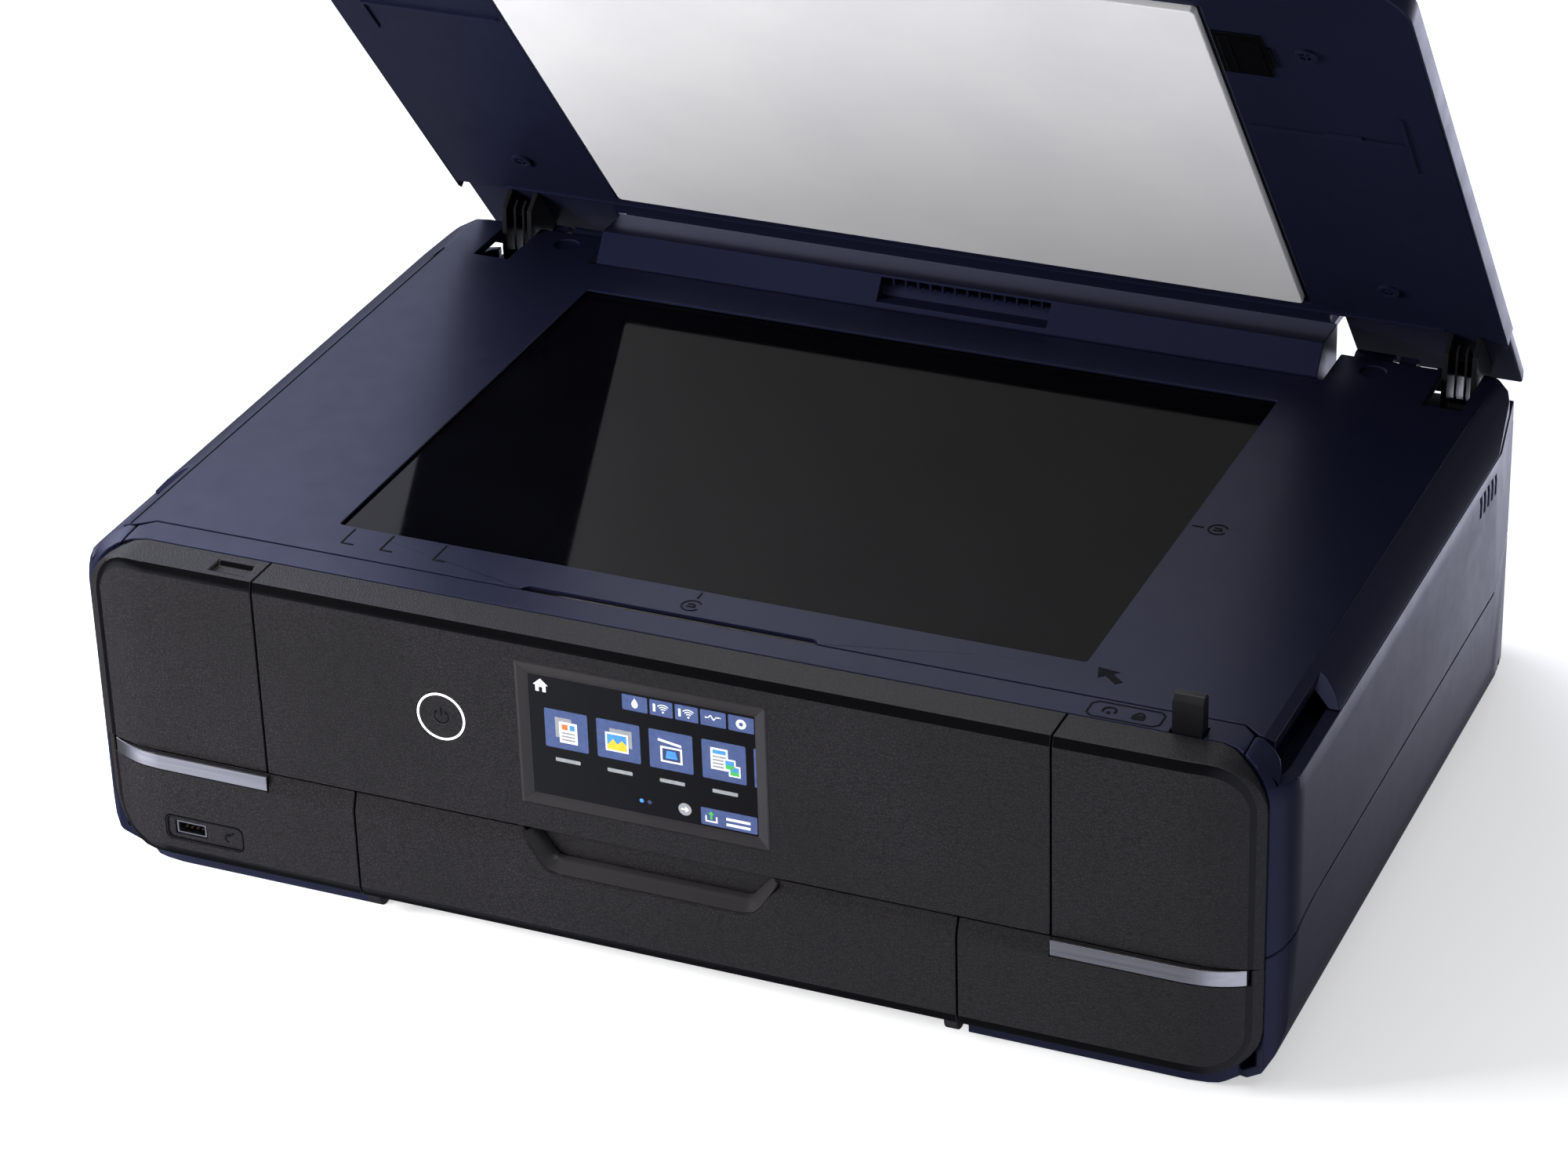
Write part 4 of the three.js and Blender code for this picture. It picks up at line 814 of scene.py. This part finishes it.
INK_COLOURS = {
    "black": srgb(40, 40, 42), "cyan": srgb(0, 140, 200), "magenta": srgb(200, 30, 110), "yellow": srgb(235, 200, 30),
    "light_cyan": srgb(120, 195, 225), "light_magenta": srgb(225, 140, 180),
}


def add_labels():
    """A coloured label, with no lettering, along the top of each ink cartridge."""
    for ink, colour in INK_COLOURS.items():
        low, high = (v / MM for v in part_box("ink_cartridge_" + ink))
        label = moulded("label_" + ink, colour, tuple(0.85 * v for v in colour), 0.35, grain=(900, 0.08, 0.02))
        bm = bmesh.new()
        body_top = high.z - 2
        add_prism(bm, round_loop(low.x + 2.4, high.x - 2.4, low.y + 16, high.y - 4, 1.2), body_top - 0.2, body_top + 0.12,
                  on_top)
        finish_piece(bm, "label_" + ink, [label], "carriage")


def add_board_parts():
    low, high = (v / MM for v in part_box("main_board"))
    face = low.x + 1.6
    across = lambda u, v, depth: Vector((depth, u, v)) * MM
    bm = bmesh.new()
    for y, z, wide, tall in ((40, 30, 16, 12), (-58, 36, 10, 8), (-8, 40, 8, 6), (48, 20, 10, 4)):
        add_prism(bm, round_loop(y - wide / 2, y + wide / 2, z - tall / 2, z + tall / 2, 0.4, 2), face - 0.1, face + 1.6, across)
    for i in range(5):
        add_prism(bm, disc_loop(-64 + i * 7, 20, 2.4, 16), face - 0.1, face + 5, across)
    finish_piece(bm, "board_parts", [CELL], "housing", 0.2, 2)
    bm = bmesh.new()
    for i in range(14):
        add_prism(bm, [(-38 + i * 1.3, 21), (-37.4 + i * 1.3, 21), (-37.4 + i * 1.3, 23), (-38 + i * 1.3, 23)],
                  high.x - 0.2, high.x + 0.15, across)
    finish_piece(bm, "board_contacts", [COPPER], "housing")


REAR_FACE = (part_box("rear_panel")[1] / MM).y
DUPLEX_LOW, DUPLEX_HIGH = (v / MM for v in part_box("duplex_unit"))
REAR_SCREWS = ((-206, 108), (206, 108), (-150, 108), (150, 108), (0, 108), (-206, 60))


def on_back(u, v, depth):
    return Vector((u, depth, v)) * MM


def add_screws(name, places, face, radius=3.2):
    """Cross-head screws standing on a rear face."""
    bm = bmesh.new()
    for x, z in places:
        add_prism(bm, disc_loop(x, z, radius, 20), face - 0.3, face + 1.0, on_back)
    finish_piece(bm, name, [STEEL], "housing", 0.3, 2)
    bm = bmesh.new()
    for x, z in places:
        add_bar(bm, (x - 1.6, z - 1.6), (x + 1.6, z + 1.6), 0.7, face + 0.9, face + 1.06, on_back)
        add_bar(bm, (x - 1.6, z + 1.6), (x + 1.6, z - 1.6), 0.7, face + 0.9, face + 1.06, on_back)
    finish_piece(bm, name + "_slots", [DARK], "housing")


def add_rear_details():
    add_screws("rear_screws", REAR_SCREWS, REAR_FACE)
    bm = bmesh.new()
    for x in (DUPLEX_LOW.x + 14, DUPLEX_HIGH.x - 14):
        add_prism(bm, round_loop(x - 8, x + 8, 20, 40, 2), DUPLEX_HIGH.y - 0.4, DUPLEX_HIGH.y - 0.1 + 0.5, on_back)
        for i in range(4):
            add_bar(bm, (x - 5, 24 + i * 4), (x + 5, 24 + i * 4), 1.0, DUPLEX_HIGH.y + 0.3, DUPLEX_HIGH.y + 1.0, on_back)
    finish_piece(bm, "duplex_grips", [DARK], "housing", 0.2, 2)
    bm = bmesh.new()
    for i in range(18):
        x = -60 + i * 7
        add_bar(bm, (x, 84), (x, 96), 2.2, REAR_FACE - 0.3, REAR_FACE + 0.25, on_back)
    finish_piece(bm, "rear_vents", [DARK], "housing")
    bm = bmesh.new()
    add_prism(bm, round_loop(120, 200, 66, 98, 1.5), REAR_FACE - 0.2, REAR_FACE + 0.15, on_back)
    finish_piece(bm, "rating_plate", [GREY], "housing")


FLOOR_LOW, FLOOR_HIGH = (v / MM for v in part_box("base_floor"))


def add_base_ribs():
    bm = bmesh.new()
    for i in range(9):
        x = -180 + i * 45
        add_bar(bm, (x, FLOOR_LOW.y + 12), (x, FLOOR_HIGH.y - 12), 1.6, FLOOR_LOW.z + 0.2, FLOOR_LOW.z - 0.9, on_top)
    for i in range(6):
        y = -140 + i * 55
        add_bar(bm, (-190, y), (190, y), 1.6, FLOOR_LOW.z + 0.2, FLOOR_LOW.z - 0.7, on_top)
    finish_piece(bm, "base_ribs", [DARK], "housing", 0.2, 2)


add_labels()
add_board_parts()
add_rear_details()
add_base_ribs()

# ---------------------------------------------------------------- lights, floor and world

FLOOR = moulded("floor", (0.93, 0.93, 0.93), (0.915, 0.915, 0.92), 0.55, grain=(30, 0.02, 0.1), specular=0.2)
FLOOR_GLOW = 0.5
SKY_LOBES = (
    # towards, where it starts and is full (cosines), strength
    ((-0.7, 0.4, 0.58), 0.8, 0.97, 2.4),        # the bright wall at the left
    ((0.66, -0.58, -0.48), 0.5, 0.97, 0.5),       # a low reflector at the front right
    ((-0.64, -0.58, -0.5), 0.92, 1.0, 0.85),         # a low one at the front left
    ((0.2, 0.93, -0.25), 0.955, 0.99, 3.8),       # a small one behind
)
SKY_LOW = 0.12


def add_floor():
    shader = FLOOR.node_tree.nodes["Principled BSDF"]
    shader.inputs["Emission Color"].default_value = (1, 1, 1, 1)
    shader.inputs["Emission Strength"].default_value = FLOOR_GLOW
    mesh = bpy.data.meshes.new("floor")
    half = 12
    mesh.from_pydata([(-half, -half, 0), (half, -half, 0), (half, half, 0), (-half, half, 0)], [], [(0, 1, 2, 3)])
    mesh.materials.append(FLOOR)
    floor = bpy.data.objects.new("floor", mesh)
    SCENE.collection.objects.link(floor)
    floor.visible_glossy = False


def add_light(name, at, target, size, power, glossy=True):
    data = bpy.data.lights.new(name, "AREA")
    data.shape = "RECTANGLE"
    data.size, data.size_y = size
    data.energy = power
    light = bpy.data.objects.new(name, data)
    light.location = at
    light.rotation_euler = (Vector(target) - Vector(at)).to_track_quat("-Z", "Y").to_euler()
    light.visible_glossy = glossy
    light.visible_camera = False
    SCENE.collection.objects.link(light)


def add_world():
    """A dim studio with a few soft bright patches."""
    world = bpy.data.worlds.new("studio")
    world.use_nodes = True
    tree = world.node_tree
    background = tree.nodes["Background"]
    background.inputs["Color"].default_value = (0.82, 0.84, 1, 1)
    direction = tree.nodes.new("ShaderNodeTexCoord").outputs["Generated"]
    total = None
    for towards, start, full, strength in SKY_LOBES:
        along = tree.nodes.new("ShaderNodeVectorMath")
        along.operation = "DOT_PRODUCT"
        along.inputs[1].default_value = Vector(towards).normalized()
        tree.links.new(direction, along.inputs[0])
        patch = tree.nodes.new("ShaderNodeMapRange")
        patch.interpolation_type = "SMOOTHSTEP"
        for name, value in (("From Min", start), ("From Max", full), ("To Min", 0.0), ("To Max", strength)):
            patch.inputs[name].default_value = value
        tree.links.new(along.outputs["Value"], patch.inputs["Value"])
        both = tree.nodes.new("ShaderNodeMath")
        both.operation = "ADD"
        both.inputs[1].default_value = SKY_LOW
        if total:
            tree.links.new(total, both.inputs[1])
        tree.links.new(patch.outputs["Result"], both.inputs[0])
        total = both.outputs["Value"]
    tree.links.new(total, background.inputs["Strength"])
    SCENE.world = world


add_floor()
add_world()
add_light("key_left", (-2.4, 1.3, 1.6), (0, 0, 0.1), (1.6, 1.3), 26, glossy=False)
add_light("top_soft", (-0.2, 0.1, 3.0), (0, 0, 0.1), (2.4, 2.0), 17)
add_light("front_fill", (-0.9, -2.9, 1.0), (0, 0.1, 0.2), (2.2, 1.4), 6, glossy=False)
add_light("near_left", (-0.76, -0.6, 0.36), (-0.15, -0.05, 0.2), (0.4, 0.4), 18, glossy=False)
add_light("corner_right", (0.95, -0.75, 1.9), (0.2, -0.1, 0.1), (0.5, 0.5), 3)
SCENE.view_settings.view_transform = "Standard"
